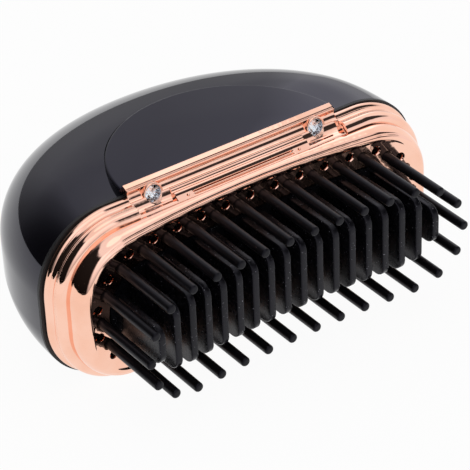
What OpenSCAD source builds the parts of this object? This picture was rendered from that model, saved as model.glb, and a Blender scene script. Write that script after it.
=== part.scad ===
// Palm-held hair straightening brush with a pebble-shaped casing, a stepped
// metal-look band, a ring of cool outer pins and a comb of heated blades.
// The brush lies on its flat lower face. X runs along the face, the pins
// point along -Y, and Z is up. The origin is on the resting face, below the
// middle of the casing. All sizes are in millimetres.

/* [Casing] */
// Length of the casing at its front plane
case_len = 115.8; // [114:0.1:119]
// Height of the casing at its front plane
case_h = 48; // [47:0.1:51]
// Corner radius of the front outline
case_corner = 19.5; // [18:0.1:21]
// Depth of the casing behind its front plane
case_depth = 59; // [56:0.5:66]
// Exponent of the casing's plan curve
plan_power = 2.08; // [2.04:0.01:2.3]
// Share of the depth over which the back of the casing stays flat
rear_flat = 0.39; // [0.3:0.01:0.5]
// Rise of the top behind the front plane
crown = 2.2; // [1.6:0.1:2.8]
// Thickness of the casing wall
case_wall = 2.2; // [1.8:0.1:2.4]
// Drop of the resting face below the front outline
foot_drop = 0.2; // [0.1:0.05:0.5]

/* [Top panel] */
// Radius of the raised panel
panel_r = 32.6; // [31.8:0.1:35]
// Distance of the panel's centre in front of the casing
panel_ahead = 3; // [1:0.1:5]
// Height of the panel's face above the casing's front outline
panel_z = 2; // [1.7:0.1:2.4]
// Thickness of the panel
panel_t = 1.5; // [1.2:0.1:1.7]

/* [Band] */
// Thickness of the gasket behind the band
gasket_t = 0.9; // [0.6:0.1:1.2]
// How far the band's ends stand in from the casing's ends
band_inset = 0.7; // [0.4:0.1:1.2]
// Corner radius of the band
band_corner = 19.8; // [18.5:0.1:21]
// Depth of the band from the casing to its front edge
band_depth = 7.7; // [7.4:0.1:8.6]
// Thickness of the band's inner flange
flange_t = 2; // [1.6:0.1:2.2]
// Depth of the sleeve that enters the casing
sleeve_depth = 5; // [4:0.1:6]
// Thickness of the sleeve
sleeve_t = 1.4; // [1:0.1:1.6]

/* [Bridge] */
// Distance from the casing's end to the bridge
bridge_end = 26.2; // [25.9:0.1:28]
// Height of the bridge's back edge above the casing's front outline
bridge_z = 2.6; // [2.4:0.1:3.2]
// Distance from the bridge's end to the middle of a stone
stone_end = 6.8; // [6.2:0.1:8.6]
// Radius of a stone
stone_r = 2.15; // [1.9:0.05:2.3]

/* [Face] */
// Distance of the face in front of the casing's front plane, at its middle
face_ahead = 8.9; // [8.6:0.1:9.5]
// Radius of the bow along the face
bow_r = 285; // [270:1:340]
// Thickness of the face plate
plate_t = 2; // [1.8:0.1:2.4]
// Width of the rim at its ends
rim_w = 3.1; // [2.6:0.1:3.4]
// Height of the rim above the face
rim_h = 0.7; // [0.4:0.1:1.2]

/* [Pins] */
// Number of outer pins
pin_count = 30; // [26:2:30]
// Radius of a pin
pin_r = 1.3; // [1.1:0.05:1.4]
// Length of a pin in front of the face
pin_len = 22.1; // [18:0.1:26]
// Distance from the casing's end to the pin ring
ring_end = 9.9; // [9.6:0.1:10.4]
// Distance from the casing's side to the pin ring
ring_side = 9.5; // [9.2:0.1:9.8]
// Radius of a pin's head
pin_head_r = 2.1; // [1.8:0.05:2.15]
// Thickness of a pin's head
pin_head_t = 1.2; // [1:0.1:1.4]
// Radius of a vent hole
vent_r = 1.15; // [1:0.05:1.45]
// Distance of the vent holes outside the pin ring
vent_out = 1.2; // [0.9:0.1:1.4]

/* [Heating comb] */
// Distance from blade to blade
blade_pitch = 4.95; // [4.6:0.05:5]
// Thickness of a blade
blade_t = 2; // [1.6:0.1:2.4]
// Length of a blade in front of the face
blade_len = 18.8; // [16:0.1:20]
// Distance from the pin ring to the comb's side
comb_side = 4.2; // [4.1:0.1:5.2]
// Distance from the pin ring to the comb's end
comb_end = 3.4; // [3.3:0.1:4.4]
// Radius of a blade's front corners
blade_corner = 3.2; // [2:0.1:4]
// Depth of a blade's foot in the base
foot_depth = 2.5; // [2:0.1:3.5]
// Distance from the face to the flat back of the base
base_depth = 6; // [5.4:0.1:6.2]

/* [Heater] */
// Distance from the heater base's end to a ceramic heater
ceramic_end = 8; // [7.6:0.1:12]
// Distance from the heater base's side to a ceramic heater
ceramic_side = 3.4; // [3.3:0.1:4.7]
// Thickness of a ceramic heater
ceramic_t = 2.2; // [1.6:0.1:2.4]
// Thickness of the clamp plate
clamp_t = 1; // [0.8:0.1:1.4]
// Thickness of the heat shield
shield_t = 1.5; // [1:0.1:2]

/* [Battery] */
// Radius of the battery cell
cell_r = 9.2; // [8.8:0.1:9.4]
// Length of the battery cell
cell_len = 65; // [62:0.5:66]
// Distance of the cell's axis behind the casing's front plane
cell_back = 27; // [25:0.5:27.5]
// Distance from the control board to the cell
cell_shift = 14.5; // [14.5:0.1:15]
// Thickness of the battery tray's walls
tray_t = 1.5; // [1.2:0.1:1.8]

/* [Controls] */
// Radius of the power button
button_r = 4.8; // [4:0.1:5.2]
// Travel of the power button
button_travel = 0.5; // [0.3:0.05:0.7]
// How far the power button stands out of the casing
button_proud = 0.5; // [0.3:0.1:0.8]
// Distance of the charging socket behind the front plane
socket_back = 25; // [24.8:0.1:26]
// Width of the charging socket
socket_w = 8.9; // [8.6:0.1:9.3]
// Thickness of the charging socket
socket_t = 3.2; // [3:0.1:3.5]
// Height of the charging socket above its board
socket_h = 8.8; // [8.4:0.1:9]
// Thickness of the control board
board_t = 1.6; // [1:0.1:1.8]
// How far the charging socket's mouth stands in from the casing's face
socket_recess = 1.6; // [1:0.1:2]

/* [Fits] */
// Gap all round a piece that is set into another
seat_gap = 0.1; // [0.05:0.01:0.15]
// Gap all round a piece that slides
slide_gap = 0.2; // [0.15:0.01:0.3]
// Radius of the small screws' shanks
screw_r = 0.95; // [0.8:0.05:1.05]

/* [Hidden] */

$fn = 64;
cut = 1;                                   // overrun of a cutting solid
front_y = -9;                              // front plane of the casing
mid_z = case_h / 2 + foot_drop;            // middle of the casing above the rest
half_len = case_len / 2;
half_h = case_h / 2;
bridge_len = case_len - 2 * bridge_end;
stone_pitch = bridge_len - 2 * stone_end;
panel_top = half_h + panel_z;
bridge_top = half_h + bridge_z;
rear_corner = half_h - 0.6;                // corner radius at the casing's back
inner_crown = crown / 2;                   // rise of the ceiling of the cavity
crown_ramp = 17;                           // length over which the crown rises

plan_steps = 36;                           // steps round the casing's plan
flat_steps = 4;                            // rings on the flat of the casing
round_steps = 8;                           // rings on its rounded edge

band_a = half_len - band_inset;
band_b = half_h;
rim_step = 3.1;                            // inset of the face plate's skirt
spigot_step = 4.3;                         // inset of the face plate's spigot
spigot_t = 1.6;                            // wall of the spigot
spigot_front = band_depth;
spigot_back = gasket_t + flange_t + 0.3;
bridge_floor = band_b - spigot_step + 0.9;   // underside of the bridge
pocket_floor = band_b - 2.9;               // floor of a stone's pocket
pocket_in = 4.7;                           // pocket, from the stone towards the middle
pocket_out = 6.2;                          // pocket, from the stone towards the end
stone_ahead = 3.9;                         // stone's seat in front of the casing
stone_drop = 3.4;                          // stone's seat below the bridge's back edge
stone_lean = 70;                           // from upright to the way the stones face
slot_half = 15.4;                          // half length of the slot lines
face_y = front_y - face_ahead;
bow_axis_y = face_y - bow_r;

ring_r = half_h - ring_side;
ring_half = half_len - ring_end - ring_r;  // half the ring's straight stretch
ring_len = 4 * ring_half + 2 * PI * ring_r;
pin_step = ring_len / pin_count;
head_front = 1.2;                          // plate left in front of a pin's head
frame_t = 3;                               // thickness of the pin frame
frame_boss_r = 2.2;
frame_screw_x = ring_at(3 * pin_step, 0)[0];   // in line with the fourth pin
frame_screw_z = band_b - spigot_step - spigot_t - seat_gap - frame_boss_r - 0.1;
head_r = 1.9;                              // head of a small screw
head_t = 1.2;
boss_bite = 3;                              // how far a short screw bites its boss
tray_bite = 6;                             // how far a tray screw bites its tower
snap_len = 18;                             // length of the snap bars

comb_half_h = ring_r - comb_side;
comb_half_len = ring_half + ring_r - comb_end;
blade_count = 2 * floor((comb_half_len - blade_t / 2 - 0.5) / blade_pitch + 0.5);
base_half_len = comb_half_len + 0.4;
base_half_h = comb_half_h + 0.6;
base_lip = 0.8;                            // lip of the base behind the plate
base_back_y = face_y + base_depth;
clamp_y = base_back_y + ceramic_t;
clamp_back_y = clamp_y + clamp_t;
heater_gap = 3;                            // from the middle screw to a ceramic heater
ceramic_h = 2 * (base_half_h - ceramic_side);
ceramic_len = base_half_len - ceramic_end - heater_gap;
ceramic_x = ceramic_len / 2 + heater_gap;
clamp_screw_x = [for (s = [-1, 0, 1]) s * (ceramic_len + heater_gap + 3.5)];
flange_half_len = base_half_len + base_lip + 1.5;
flange_half_h = base_half_h + base_lip + 0.6;
shield_wall = 1;
shield_y = front_y - gasket_t;
fuse_r = 1.1;
fuse_len = 9;
fuse_lead = 4;
shield_floor_y = clamp_back_y + 2 * fuse_r + 0.3;
lead_r = 0.6;
heater_lead_x = 31;
heater_lead_z = 5;
hook_x = [-24, 24];                        // catches that hold the band
hook_len = 8;
hook_h = 1.1;
hook_t = 1.3;
sleeve_inset = case_wall + hook_h + 0.2;     // sleeve's outside, in from the casing's

cell_gap = 0.15;                           // gap round the cell in its tray
cell_y = front_y + cell_back;
tray_r = cell_r + cell_gap + tray_t;
tray_front_y = cell_y - cell_r + 1.2;
tray_end_gap = 2;
battery_lead_y = tray_front_y - 4;
heater_lead_y = battery_lead_y - 5;
ear_y = cell_y - 5;
ear_t = 2;
ear_len = 7;
tab_t = 0.3;
tab_r = 4;

button_ring = 1.5;                         // wall of the ring that guides the button
button_y = front_y + sleeve_depth + button_r + button_ring + 0.4;
socket_y = front_y + socket_back;
port_w = socket_w + 1.6;
port_t = socket_t + 1.5;
board_x = wall_x(socket_y) - socket_recess - socket_h - board_t;
cell_x = board_x - cell_shift - cell_len / 2;
tray_x0 = cell_x - cell_len / 2 - tray_end_gap - tray_t;
tray_x1 = cell_x + cell_len / 2 + tray_end_gap + tray_t;
board_gap = 2.5;                           // length of the board's bosses
board_plate_t = 1.5;
lens_y = (button_y + button_r + button_ring + socket_y - port_t / 2) / 2;
lens_r = 0.9;
button_flange = 1.1;                       // flange that keeps the button in
button_seat_x = inner_x(button_y + button_r + button_flange) - 0.1;
button_face_x = wall_x(button_y) + button_proud;
board_face_x = board_x + board_t;
board_y0 = button_y - 5;
board_y1 = socket_y + 4.5;
board_half_h = half_h - 11;
switch_w = 6;
chip_size = [1.2, 6, 5];
charger_size = [1.5, 5, 5];
coil_size = [2, 4, 4];
switch_h = 3.4;
plunger_r = 1.7;
plunger_top_x = board_face_x + switch_h + 1.4;
board_screw_in = 2.6;                      // board screws, in from its corners
board_screw_at = [
    [board_y0 + board_screw_in, board_half_h - board_screw_in],
    [board_y1 - board_screw_in, board_screw_in - board_half_h]
];

// Rise of the crown at a distance behind the front plane
function ramp(back) = let (t = min(1, max(0, back / crown_ramp))) t * t * (3 - 2 * t);

// Half length of the casing's plan at a height y
function wall_x(y) = half_len * pow(1 - pow((y - front_y) / case_depth, plan_power), 1 / plan_power);

// Half length of the cavity's plan at a height y
function inner_x(y) =
    (half_len - case_wall)
    * pow(1 - pow((y - front_y) / (case_depth - case_wall), plan_power), 1 / plan_power);

// Power that keeps the sign, for the superellipse
function spow(v, e) = sign(v) * pow(abs(v), e);

// One point of the pebble: share of the plan's radius, angle round the plan
function pebble_point(a, b, d, rise, rho, phi, z) = [
    a * rho * spow(cos(phi), 2 / plan_power),
    front_y + d * rho * spow(sin(phi), 2 / plan_power),
    z + rise * (1 - rho * rho) * ramp(d * rho * spow(sin(phi), 2 / plan_power))
];

// Points of one half section of the pebble at an angle, from the middle out
function pebble_rib(a, b, d, r, rise, phi) =
    let (
        w = pow(sin(phi), 2),
        edge_r = r + (rear_corner - case_corner) * w,
        flat = (1 - r / a) * (1 - w) + rear_flat * w
    )
    concat(
        [for (j = [1:flat_steps])
            pebble_point(a, b, d, rise, flat * j / flat_steps, phi, b)],
        [for (j = [1:round_steps]) let (t = 90 * j / round_steps)
            pebble_point(a, b, d, rise, flat + (1 - flat) * sin(t), phi, b - edge_r + edge_r * cos(t))]
    );

// Arc of points, for a profile
function arc(cx, cy, r, a0, a1, n) = [for (i = [0:n]) let (t = a0 + (a1 - a0) * i / n)
    [cx + r * cos(t), cy + r * sin(t)]];

// Y of the bowed face at a distance along it
function face_at(x) = bow_axis_y + sqrt(bow_r * bow_r - x * x);

// Point and outward direction on the pin ring, at a length round it
function ring_quarter(s, out) =
    let (bend = PI * ring_r / 2)
    s < bend
    ? let (t = s / ring_r * 180 / PI) [ring_half + (ring_r + out) * cos(t), (ring_r + out) * sin(t)]
    : [ring_half - (s - bend), ring_r + out];

function ring_at(s, out) =
    let (quarter = ring_len / 4, q = floor(s / quarter + 0.000001), rest = s - q * quarter)
    q == 0 ? ring_quarter(rest, out)
    : q == 1 ? let (p = ring_quarter(quarter - rest, out)) [-p[0], p[1]]
    : q == 2 ? let (p = ring_quarter(rest, out)) [-p[0], -p[1]]
    : let (p = ring_quarter(quarter - rest, out)) [p[0], -p[1]];

// X of a blade and its half height
function blade_x(i) = (i - (blade_count - 1) / 2) * blade_pitch;
function blade_half(i) =
    let (over = abs(blade_x(i)) + blade_t / 2 - (comb_half_len - comb_half_h))
    over <= 0 ? comb_half_h : sqrt(comb_half_h * comb_half_h - over * over);

// Closed pebble with a flat front; lead carries its front section forward
module pebble(inset, rise, lead) {
    a = half_len - inset;
    b = half_h - inset;
    d = case_depth - inset;
    r = case_corner - inset;
    n = flat_steps + round_steps;
    ribs = [for (i = [0:plan_steps]) pebble_rib(a, b, d, r, rise, 180 * i / plan_steps)];
    top = [for (rib = ribs) for (p = rib) p];
    low = [for (p = top) [p[0], p[1], -p[2]]];
    section = concat(
        [for (j = [n - 1:-1:0]) ribs[0][j]], [[0, front_y, b]],
        [for (j = [0:n - 1]) ribs[plan_steps][j]]
    );
    rim = concat(section, [for (k = [len(section) - 1:-1:0]) [section[k][0], section[k][1], -section[k][2]]]);
    nose = [for (p = rim) [p[0], front_y - lead, p[2]]];
    m = len(top);
    tip = 2 * m;
    start = tip + 2;
    rim_n = len(rim);
    rim_index = concat(
        [for (j = [n - 1:-1:0]) j], [tip], [for (j = [0:n - 1]) plan_steps * n + j],
        [for (j = [n - 1:-1:0]) m + plan_steps * n + j], [tip + 1], [for (j = [0:n - 1]) m + j]
    );
    points = concat(top, low, [[0, front_y, b], [0, front_y, -b]], lead > 0 ? nose : []);
    faces = concat(
        [for (i = [0:plan_steps - 1]) [tip, (i + 1) * n, i * n]],
        [for (i = [0:plan_steps - 1]) [tip + 1, m + i * n, m + (i + 1) * n]],
        [for (i = [0:plan_steps - 1]) for (j = [0:n - 2]) let (p = i * n + j, q = p + n)
            each [[p, q, q + 1], [p, q + 1, p + 1]]],
        [for (i = [0:plan_steps - 1]) for (j = [0:n - 2]) let (p = m + i * n + j, q = p + n)
            each [[p, q + 1, q], [p, p + 1, q + 1]]],
        [for (i = [0:plan_steps - 1]) let (p = i * n + n - 1, q = p + n)
            each [[p, q, m + q], [p, m + q, m + p]]],
        lead > 0
        ? concat(
            [for (k = [0:rim_n - 1]) let (l = (k + 1) % rim_n)
                each [[rim_index[k], start + k, start + l], [rim_index[k], start + l, rim_index[l]]]],
            [[for (k = [rim_n - 1:-1:0]) start + k]])
        : [[for (k = [rim_n - 1:-1:0]) rim_index[k]]]
    );
    polyhedron(points, faces, convexity = 4);
}

// Rounded rectangle about the origin
module round_rect(a, b, r) {
    square([2 * (a - r), 2 * b], center = true);
    if (b > r) square([2 * a, 2 * (b - r)], center = true);
    for (sx = [-1, 1], sz = [-1, 1]) translate([sx * (a - r), sz * (b - r)]) circle(r);
}

// Prism that runs forward between two distances in front of the casing
module forward(v0, v1) {
    translate([0, front_y - v0, 0]) rotate([90, 0, 0]) linear_extrude(v1 - v0) children();
}

// Same prism between two heights of y, back and front
module along(y_back, y_front) {
    translate([0, y_back, 0]) rotate([90, 0, 0]) linear_extrude(y_back - y_front) children();
}

module case_outline(inset) {
    round_rect(half_len - inset, half_h - inset, case_corner - inset);
}

module band_outline(inset) {
    round_rect(band_a - inset, band_b - inset, band_corner - inset);
}

module stadium(a, b) {
    round_rect(a, b, b);
}

// Profile swept round the band; its x is the outset, its y runs forward
module band_sweep() {
    a = band_a - band_corner;
    b = band_b - band_corner;
    translate([0, front_y, 0]) rotate([90, 0, 0]) {
        for (sx = [0, 1], sz = [0, 1])
            mirror([sx, 0, 0]) mirror([0, sz, 0]) translate([a, b, 0])
                rotate_extrude(angle = 90) translate([band_corner, 0]) children();
        for (sz = [0, 1])
            mirror([0, sz, 0]) translate([-a, b, 0])
                rotate([90, 0, 90]) linear_extrude(2 * a) translate([band_corner, 0]) children();
        for (sx = [0, 1])
            mirror([sx, 0, 0]) translate([a, b, 0])
                rotate([90, 0, 0]) linear_extrude(2 * b) translate([band_corner, 0]) children();
    }
}

// Everything in front of the bowed surface a distance behind the face
module bow_front(depth) {
    translate([0, bow_axis_y, -half_h - cut]) cylinder(r = bow_r + depth, h = 2 * (half_h + cut), $fn = 720);
}

// Pan-head screw; its head stands up from z = 0 and its shank hangs below
module pan_screw(shank) {
    difference() {
        union() {
            cylinder(r = head_r, h = head_t);
            translate([0, 0, -shank]) cylinder(r = screw_r, h = shank + head_t / 2);
        }
        for (turn = [0, 90]) rotate(turn) translate([-1.1, -0.2, head_t - 0.5]) cube([2.2, 0.4, cut]);
    }
}

// Insulated wire through a list of points
module wire(points, r) {
    for (i = [0:len(points) - 2]) {
        run = points[i + 1] - points[i];
        turn = atan2(run[1], run[0]);
        lean = acos(run[2] / norm(run));
        translate(points[i]) rotate([0, lean, turn]) cylinder(r = r, h = norm(run), $fn = 24);
    }
    for (i = [1:len(points) - 2]) translate(points[i]) sphere(r = r, $fn = 24);
}

module at_mid() {
    translate([0, 0, mid_z]) children();
}

// Places on the casing's right end, looking out along X
module at_end(y, x) {
    translate([x, y, 0]) rotate([0, 90, 0]) children();
}

module port_outline(gap) {
    w = port_w - port_t;
    for (s = [-1, 1]) translate([s * w / 2, 0]) circle(r = port_t / 2 - gap);
    square([w, port_t - 2 * gap], center = true);
}

module frame_screw_spots() {
    for (sx = [-1, 1], sz = [-1, 1]) translate([sx * frame_screw_x, 0, sz * frame_screw_z]) children();
}

module tray_screw_spots() {
    for (x = [tray_x0 - ear_len / 2, tray_x1 + ear_len / 2]) translate([x, ear_y, 0]) children();
}

module shell_inside_features() {
    intersection() {
        pebble(case_wall / 2, inner_crown, 0);
        union() {
            for (x = hook_x, s = [0, 1]) mirror([0, 0, s])
                translate([x - hook_len / 2, front_y + sleeve_depth - hook_t - 1.1, half_h - case_wall - hook_h])
                    cube([hook_len, 1, case_wall + hook_h]);
            tray_screw_spots() rotate([-90, 0, 0]) cylinder(r = 3, h = case_depth);
            at_end(button_y, button_seat_x) cylinder(r = button_r + button_ring, h = 2 * case_wall);
        }
    }
}

module main_shell() {
    color("#1b1a20") at_mid() difference() {
        union() {
            difference() {
                union() {
                    pebble(0, crown, 0);
                    intersection() {
                        translate([0, front_y - panel_ahead, half_h / 2])
                            cylinder(r = panel_r, h = panel_top - panel_t - half_h / 2);
                        translate([-half_len, front_y, 0]) cube([case_len, case_depth, half_h + crown]);
                    }
                }
                pebble(case_wall, inner_crown, cut);
            }
            shell_inside_features();
        }
        translate([0, front_y - panel_ahead, panel_top - panel_t])
            cylinder(r = panel_r + seat_gap, h = case_h);
        translate([-case_len, -case_depth, -mid_z - case_h]) cube([2 * case_len, 3 * case_depth, case_h]);
        at_end(button_y, button_seat_x - cut) cylinder(r = button_r + slide_gap, h = case_wall + 6);
        at_end(lens_y, board_x) cylinder(r = lens_r + seat_gap, h = half_len);
        at_end(socket_y, board_face_x) linear_extrude(half_len) port_outline(0);
        tray_screw_spots() rotate([-90, 0, 0]) translate([0, 0, -cut])
            cylinder(r = screw_r + seat_gap / 5, h = tray_bite + 0.5 + cut);
    }
}

module top_panel() {
    color("#24232a") at_mid() intersection() {
        translate([0, front_y - panel_ahead, panel_top - panel_t]) cylinder(r = panel_r, h = panel_t);
        translate([-half_len, front_y, 0]) cube([case_len, case_depth, case_h]);
    }
}

module shell_gasket() {
    color("#0d0d0f") at_mid() difference() {
        forward(0, gasket_t) case_outline(0);
        forward(-cut, gasket_t + cut) case_outline(sleeve_inset - seat_gap);
    }
}

// Stepped section of the band: a bead, a cove, a small bead and a ridge
module band_profile() {
    d = band_depth;
    polygon(concat(
        [[-spigot_step + 0.2, gasket_t], [-0.6, gasket_t]],
        arc(-0.9, gasket_t + 1.15, 0.9, -60, 70, 6),
        arc(-0.35, gasket_t + 2.7, 0.75, 215, 145, 4),
        arc(-1.45, gasket_t + 3.7, 0.5, -60, 60, 4),
        [[-1.85, gasket_t + 4.45], [-1.95, gasket_t + 4.75]],
        arc(-2.6, d - 1.15, 0.9, -35, 60, 5),
        [[-2.9, d - 0.3], [-3.1, d], [-spigot_step + 0.2, d]]
    ));
}

module bridge_space(gap) {
    translate([-bridge_len / 2 - gap, front_y - band_depth - cut, bridge_floor - gap])
        cube([bridge_len + 2 * gap, band_depth - gasket_t + cut, half_h]);
}

module outer_band() {
    color("#e6a283") at_mid() difference() {
        union() {
            difference() {
                union() {
                    band_sweep() band_profile();
                    forward(gasket_t, gasket_t + flange_t) band_outline(spigot_step - 0.4);
                }
                forward(-cut, band_depth) stadium(flange_half_len, flange_half_h);
            }
            difference() {
                forward(-sleeve_depth, gasket_t + 0.5) case_outline(sleeve_inset);
                forward(-sleeve_depth - cut, gasket_t + cut) case_outline(sleeve_inset + sleeve_t);
            }
            for (x = hook_x, s = [0, 1]) mirror([0, 0, s])
                translate([x - hook_len / 2 + 1, front_y + sleeve_depth - hook_t, half_h - sleeve_inset - 0.5])
                    cube([hook_len - 2, hook_t, hook_h + 0.3]);
        }
        bridge_space(0);
        frame_screw_spots() forward(-cut, 2 * band_depth) circle(r = screw_r + slide_gap);
        for (s = [-1, 1]) snap_bar(s, seat_gap);
    }
}

// Rounded bars on the spigot that snap into the band
module snap_bar(s, gap) {
    translate([-snap_len / 2 - gap, front_y - (spigot_back + spigot_front) / 2, s * (band_b - spigot_step)])
        rotate([0, 90, 0]) cylinder(r = 0.35 + gap, h = snap_len + 2 * gap, $fn = 24);
}

// Section of the bridge: a sloping top, a deep cove, a bead and a sloping front
module bridge_section() {
    g = gasket_t;
    d = band_depth;
    z = bridge_top;
    polygon(concat(
        [[0, z], [0, band_b + 0.1], [g, band_b + 0.1], [g, bridge_floor], [d, bridge_floor]],
        [[d, pocket_floor], [d - 1.6, z - 4.75]],
        arc(d - 2.5, z - 4.85, 0.75, 45, 132, 4),
        [[d - 3.35, z - 4.35], [d - 4.3, z - 3.7]],
        arc(d - 3.7, z - 1.85, 1.9, 240, 153, 6),
        [[d - 5.45, z - 0.9], [d - 5.8, z - 0.7]]
    ));
}

// Side view of a stone's pocket; its back wall leans as the stone does
module pocket_section() {
    d = band_depth;
    z = bridge_top;
    polygon([
        [d - 5.4, z - 0.95], [d - 3.75, pocket_floor], [d + 2, pocket_floor], [d + 2, z + 2], [d - 5.4, z + 2]
    ]);
}

module along_x(length) {
    translate([-length / 2, front_y, 0]) rotate([90, 0, 90]) linear_extrude(length) mirror([1, 0]) children();
}

// Middle of a stone's seat, with z pointing out of it
module stone_seat(side) {
    translate([side * stone_pitch / 2, front_y - stone_ahead, bridge_top - stone_drop])
        rotate([stone_lean, 0, 0]) children();
}

module bridge_trim() {
    span = pocket_in + pocket_out;
    color("#eaa686") at_mid() difference() {
        union() {
            difference() {
                along_x(bridge_len) bridge_section();
                for (s = [-1, 1])
                    translate([s * (stone_pitch / 2 + (pocket_out - pocket_in) / 2), 0, 0])
                        along_x(span) pocket_section();
            }
            for (s = [-1, 1]) {
                stone_seat(s) translate([0, 0, -1.6]) cylinder(r = stone_r + 0.55, h = 2);
                translate([s * (slot_half + 1.6), front_y - band_depth + 0.9, bridge_top - 5.4])
                    cylinder(r = 0.45, h = 0.8, $fn = 16);
            }
        }
        for (s = [-1, 1]) stone_seat(s) translate([0, 0, -0.9]) cylinder(r = stone_r + seat_gap / 2, h = 4);
        translate([-bridge_len / 2, front_y - band_depth - cut, bridge_floor - 3])
            cube([bridge_len, band_depth + cut, 3]);
        for (k = [0, 1])
            translate([-slot_half, front_y - band_depth + 1.25 - 0.65 * k, bridge_top - 4.96 - 0.38 * k])
                rotate([0, 90, 0]) cylinder(r = 0.2, h = 2 * slot_half, $fn = 16);
    }
}

// A stone: a straight girdle in its seat under a cut crown
module stone(side) {
    stone_seat(side) {
        translate([0, 0, -0.9]) cylinder(r = stone_r, h = 1.2);
        translate([0, 0, 0.3]) cylinder(r1 = stone_r, r2 = stone_r * 0.55, h = 0.7, $fn = 12);
    }
}

module left_stone() {
    color("#e8eef2") at_mid() stone(-1);
}

module right_stone() {
    color("#e8eef2") at_mid() stone(1);
}

module pin_spots(out, half) {
    for (i = [0:pin_count - 1]) {
        p = ring_at((i + half) * pin_step, out);
        translate([p[0], face_at(p[0]), p[1]]) children();
    }
}

module face_plate() {
    inner = spigot_step + spigot_t;
    color("#dd9a7c") at_mid() difference() {
        union() {
            forward(spigot_front, spigot_front + 9) band_outline(rim_step);
            forward(spigot_back, spigot_front + 0.2) band_outline(spigot_step);
            for (s = [-1, 1]) snap_bar(s, 0);
        }
        bow_front(-rim_h);
        intersection() {
            forward(0, 60)
                round_rect(
                    band_a - rim_step - rim_w, band_b - rim_step - rim_w * 0.68, band_corner - rim_step - 2
                );
            bow_front(0);
        }
        difference() {
            forward(0, 60) band_outline(inner);
            bow_front(plate_t);
        }
        along(face_y + 20, face_y - 20) stadium(base_half_len + 0.3, base_half_h + 0.3);
        pin_spots(0, 0) rotate([90, 0, 0]) cylinder(r = pin_r + seat_gap / 2, h = 20, center = true);
        pin_spots(0, 0) translate([0, head_front, 0]) rotate([-90, 0, 0])
            cylinder(r = pin_head_r + seat_gap, h = 4);
        pin_spots(vent_out, 0.5) rotate([90, 0, 0]) cylinder(r = vent_r, h = 20, center = true);
    }
}

module pin() {
    tip_r = pin_r * 0.75;
    rotate([90, 0, 0]) rotate_extrude() polygon(concat(
        [[0, -head_front - pin_head_t - 0.05], [pin_head_r, -head_front - pin_head_t - 0.05],
            [pin_head_r, -head_front - 0.05], [pin_r, -head_front - 0.05]],
        arc(pin_r - tip_r, pin_len - tip_r, tip_r, 0, 90, 6),
        [[0, pin_len]]
    ));
}

module outer_pins() {
    color("#17161a") at_mid() pin_spots(0, 0) pin();
}

module pin_frame() {
    inner = spigot_step + spigot_t + seat_gap;
    color("#222126") at_mid() difference() {
        union() {
            difference() {
                forward(0, 60) band_outline(inner);
                bow_front(plate_t + 0.05);
                difference() {
                    forward(-60, 60) band_outline(0);
                    bow_front(plate_t + frame_t);
                }
            }
            frame_screw_spots()
                along(front_y - gasket_t - flange_t, face_at(frame_screw_x) + plate_t + frame_t - 0.5)
                    circle(r = frame_boss_r);
        }
        along(face_y + 20, face_y - 20) stadium(base_half_len + base_lip + 0.2, base_half_h + base_lip + 0.2);
        pin_spots(0, 0) translate([0, head_front + pin_head_t + 0.1, 0]) rotate([90, 0, 0])
            cylinder(r = pin_head_r + seat_gap, h = 6);
        pin_spots(vent_out, 0.5) rotate([90, 0, 0]) cylinder(r = vent_r, h = 20, center = true);
        frame_screw_spots() forward(gasket_t, gasket_t + flange_t + boss_bite + 0.4)
            circle(r = screw_r + seat_gap / 5);
    }
}

// Side view of a blade, from its foot to its front edge
module blade_outline(half, length) {
    r = min(blade_corner, half - 0.5);
    translate([-foot_depth, -half]) square([foot_depth + length - r, 2 * half]);
    translate([-foot_depth, -half + r]) square([foot_depth + length, 2 * (half - r)]);
    for (s = [-1, 1]) translate([length - r, s * (half - r)]) circle(r);
}

module heating_blades() {
    color("#1e1d22") at_mid() for (i = [0:blade_count - 1])
        translate([blade_x(i) - blade_t / 2, face_at(blade_x(i)), 0])
            rotate([90, 0, 90]) linear_extrude(blade_t) mirror([1, 0])
                blade_outline(blade_half(i), blade_len);
}

module heater_base() {
    color("#2c2b30") at_mid() difference() {
        union() {
            difference() {
                along(base_back_y, base_back_y - 20) stadium(base_half_len, base_half_h);
                bow_front(0);
            }
            difference() {
                along(base_back_y, base_back_y - 20)
                    stadium(base_half_len + base_lip, base_half_h + base_lip);
                bow_front(plate_t + 0.05);
            }
        }
        for (i = [0:blade_count - 1])
            translate([blade_x(i), face_at(blade_x(i)), 0])
                cube([blade_t + seat_gap, 2 * foot_depth, 2 * blade_half(i) + seat_gap], center = true);
        for (x = clamp_screw_x) translate([x, base_back_y + cut, 0]) rotate([90, 0, 0])
            cylinder(r = screw_r + seat_gap / 5, h = boss_bite + cut);
        translate([clamp_screw_x[0] + 6.5, base_back_y + cut, base_half_h - 2.5]) rotate([90, 0, 0])
            cylinder(r = 1.15, h = 2 + cut);
    }
}

module ceramic_heaters() {
    color("#d8d2c4") at_mid() for (s = [-1, 1])
        translate([s * ceramic_x - ceramic_len / 2, base_back_y, -ceramic_h / 2])
            cube([ceramic_len, ceramic_t, ceramic_h]);
}

module heater_clamp() {
    half = clamp_screw_x[2] + 2.4;
    color("#b9bcc0") at_mid() difference() {
        union() {
            translate([-half, clamp_y, -ceramic_h / 2 - 0.5]) cube([2 * half, clamp_t, ceramic_h + 1]);
            for (x = clamp_screw_x) translate([x, clamp_back_y, 0]) rotate([90, 0, 0])
                cylinder(r = 2, h = clamp_t + ceramic_t);
        }
        for (x = clamp_screw_x) translate([x, clamp_back_y + cut, 0]) rotate([90, 0, 0])
            cylinder(r = screw_r + seat_gap, h = 10);
    }
}

module clamp_screws() {
    color("#a9abb0") at_mid() for (x = clamp_screw_x)
        translate([x, clamp_back_y, 0]) rotate([-90, 0, 0]) pan_screw(clamp_t + ceramic_t + boss_bite - 0.4);
}

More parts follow.
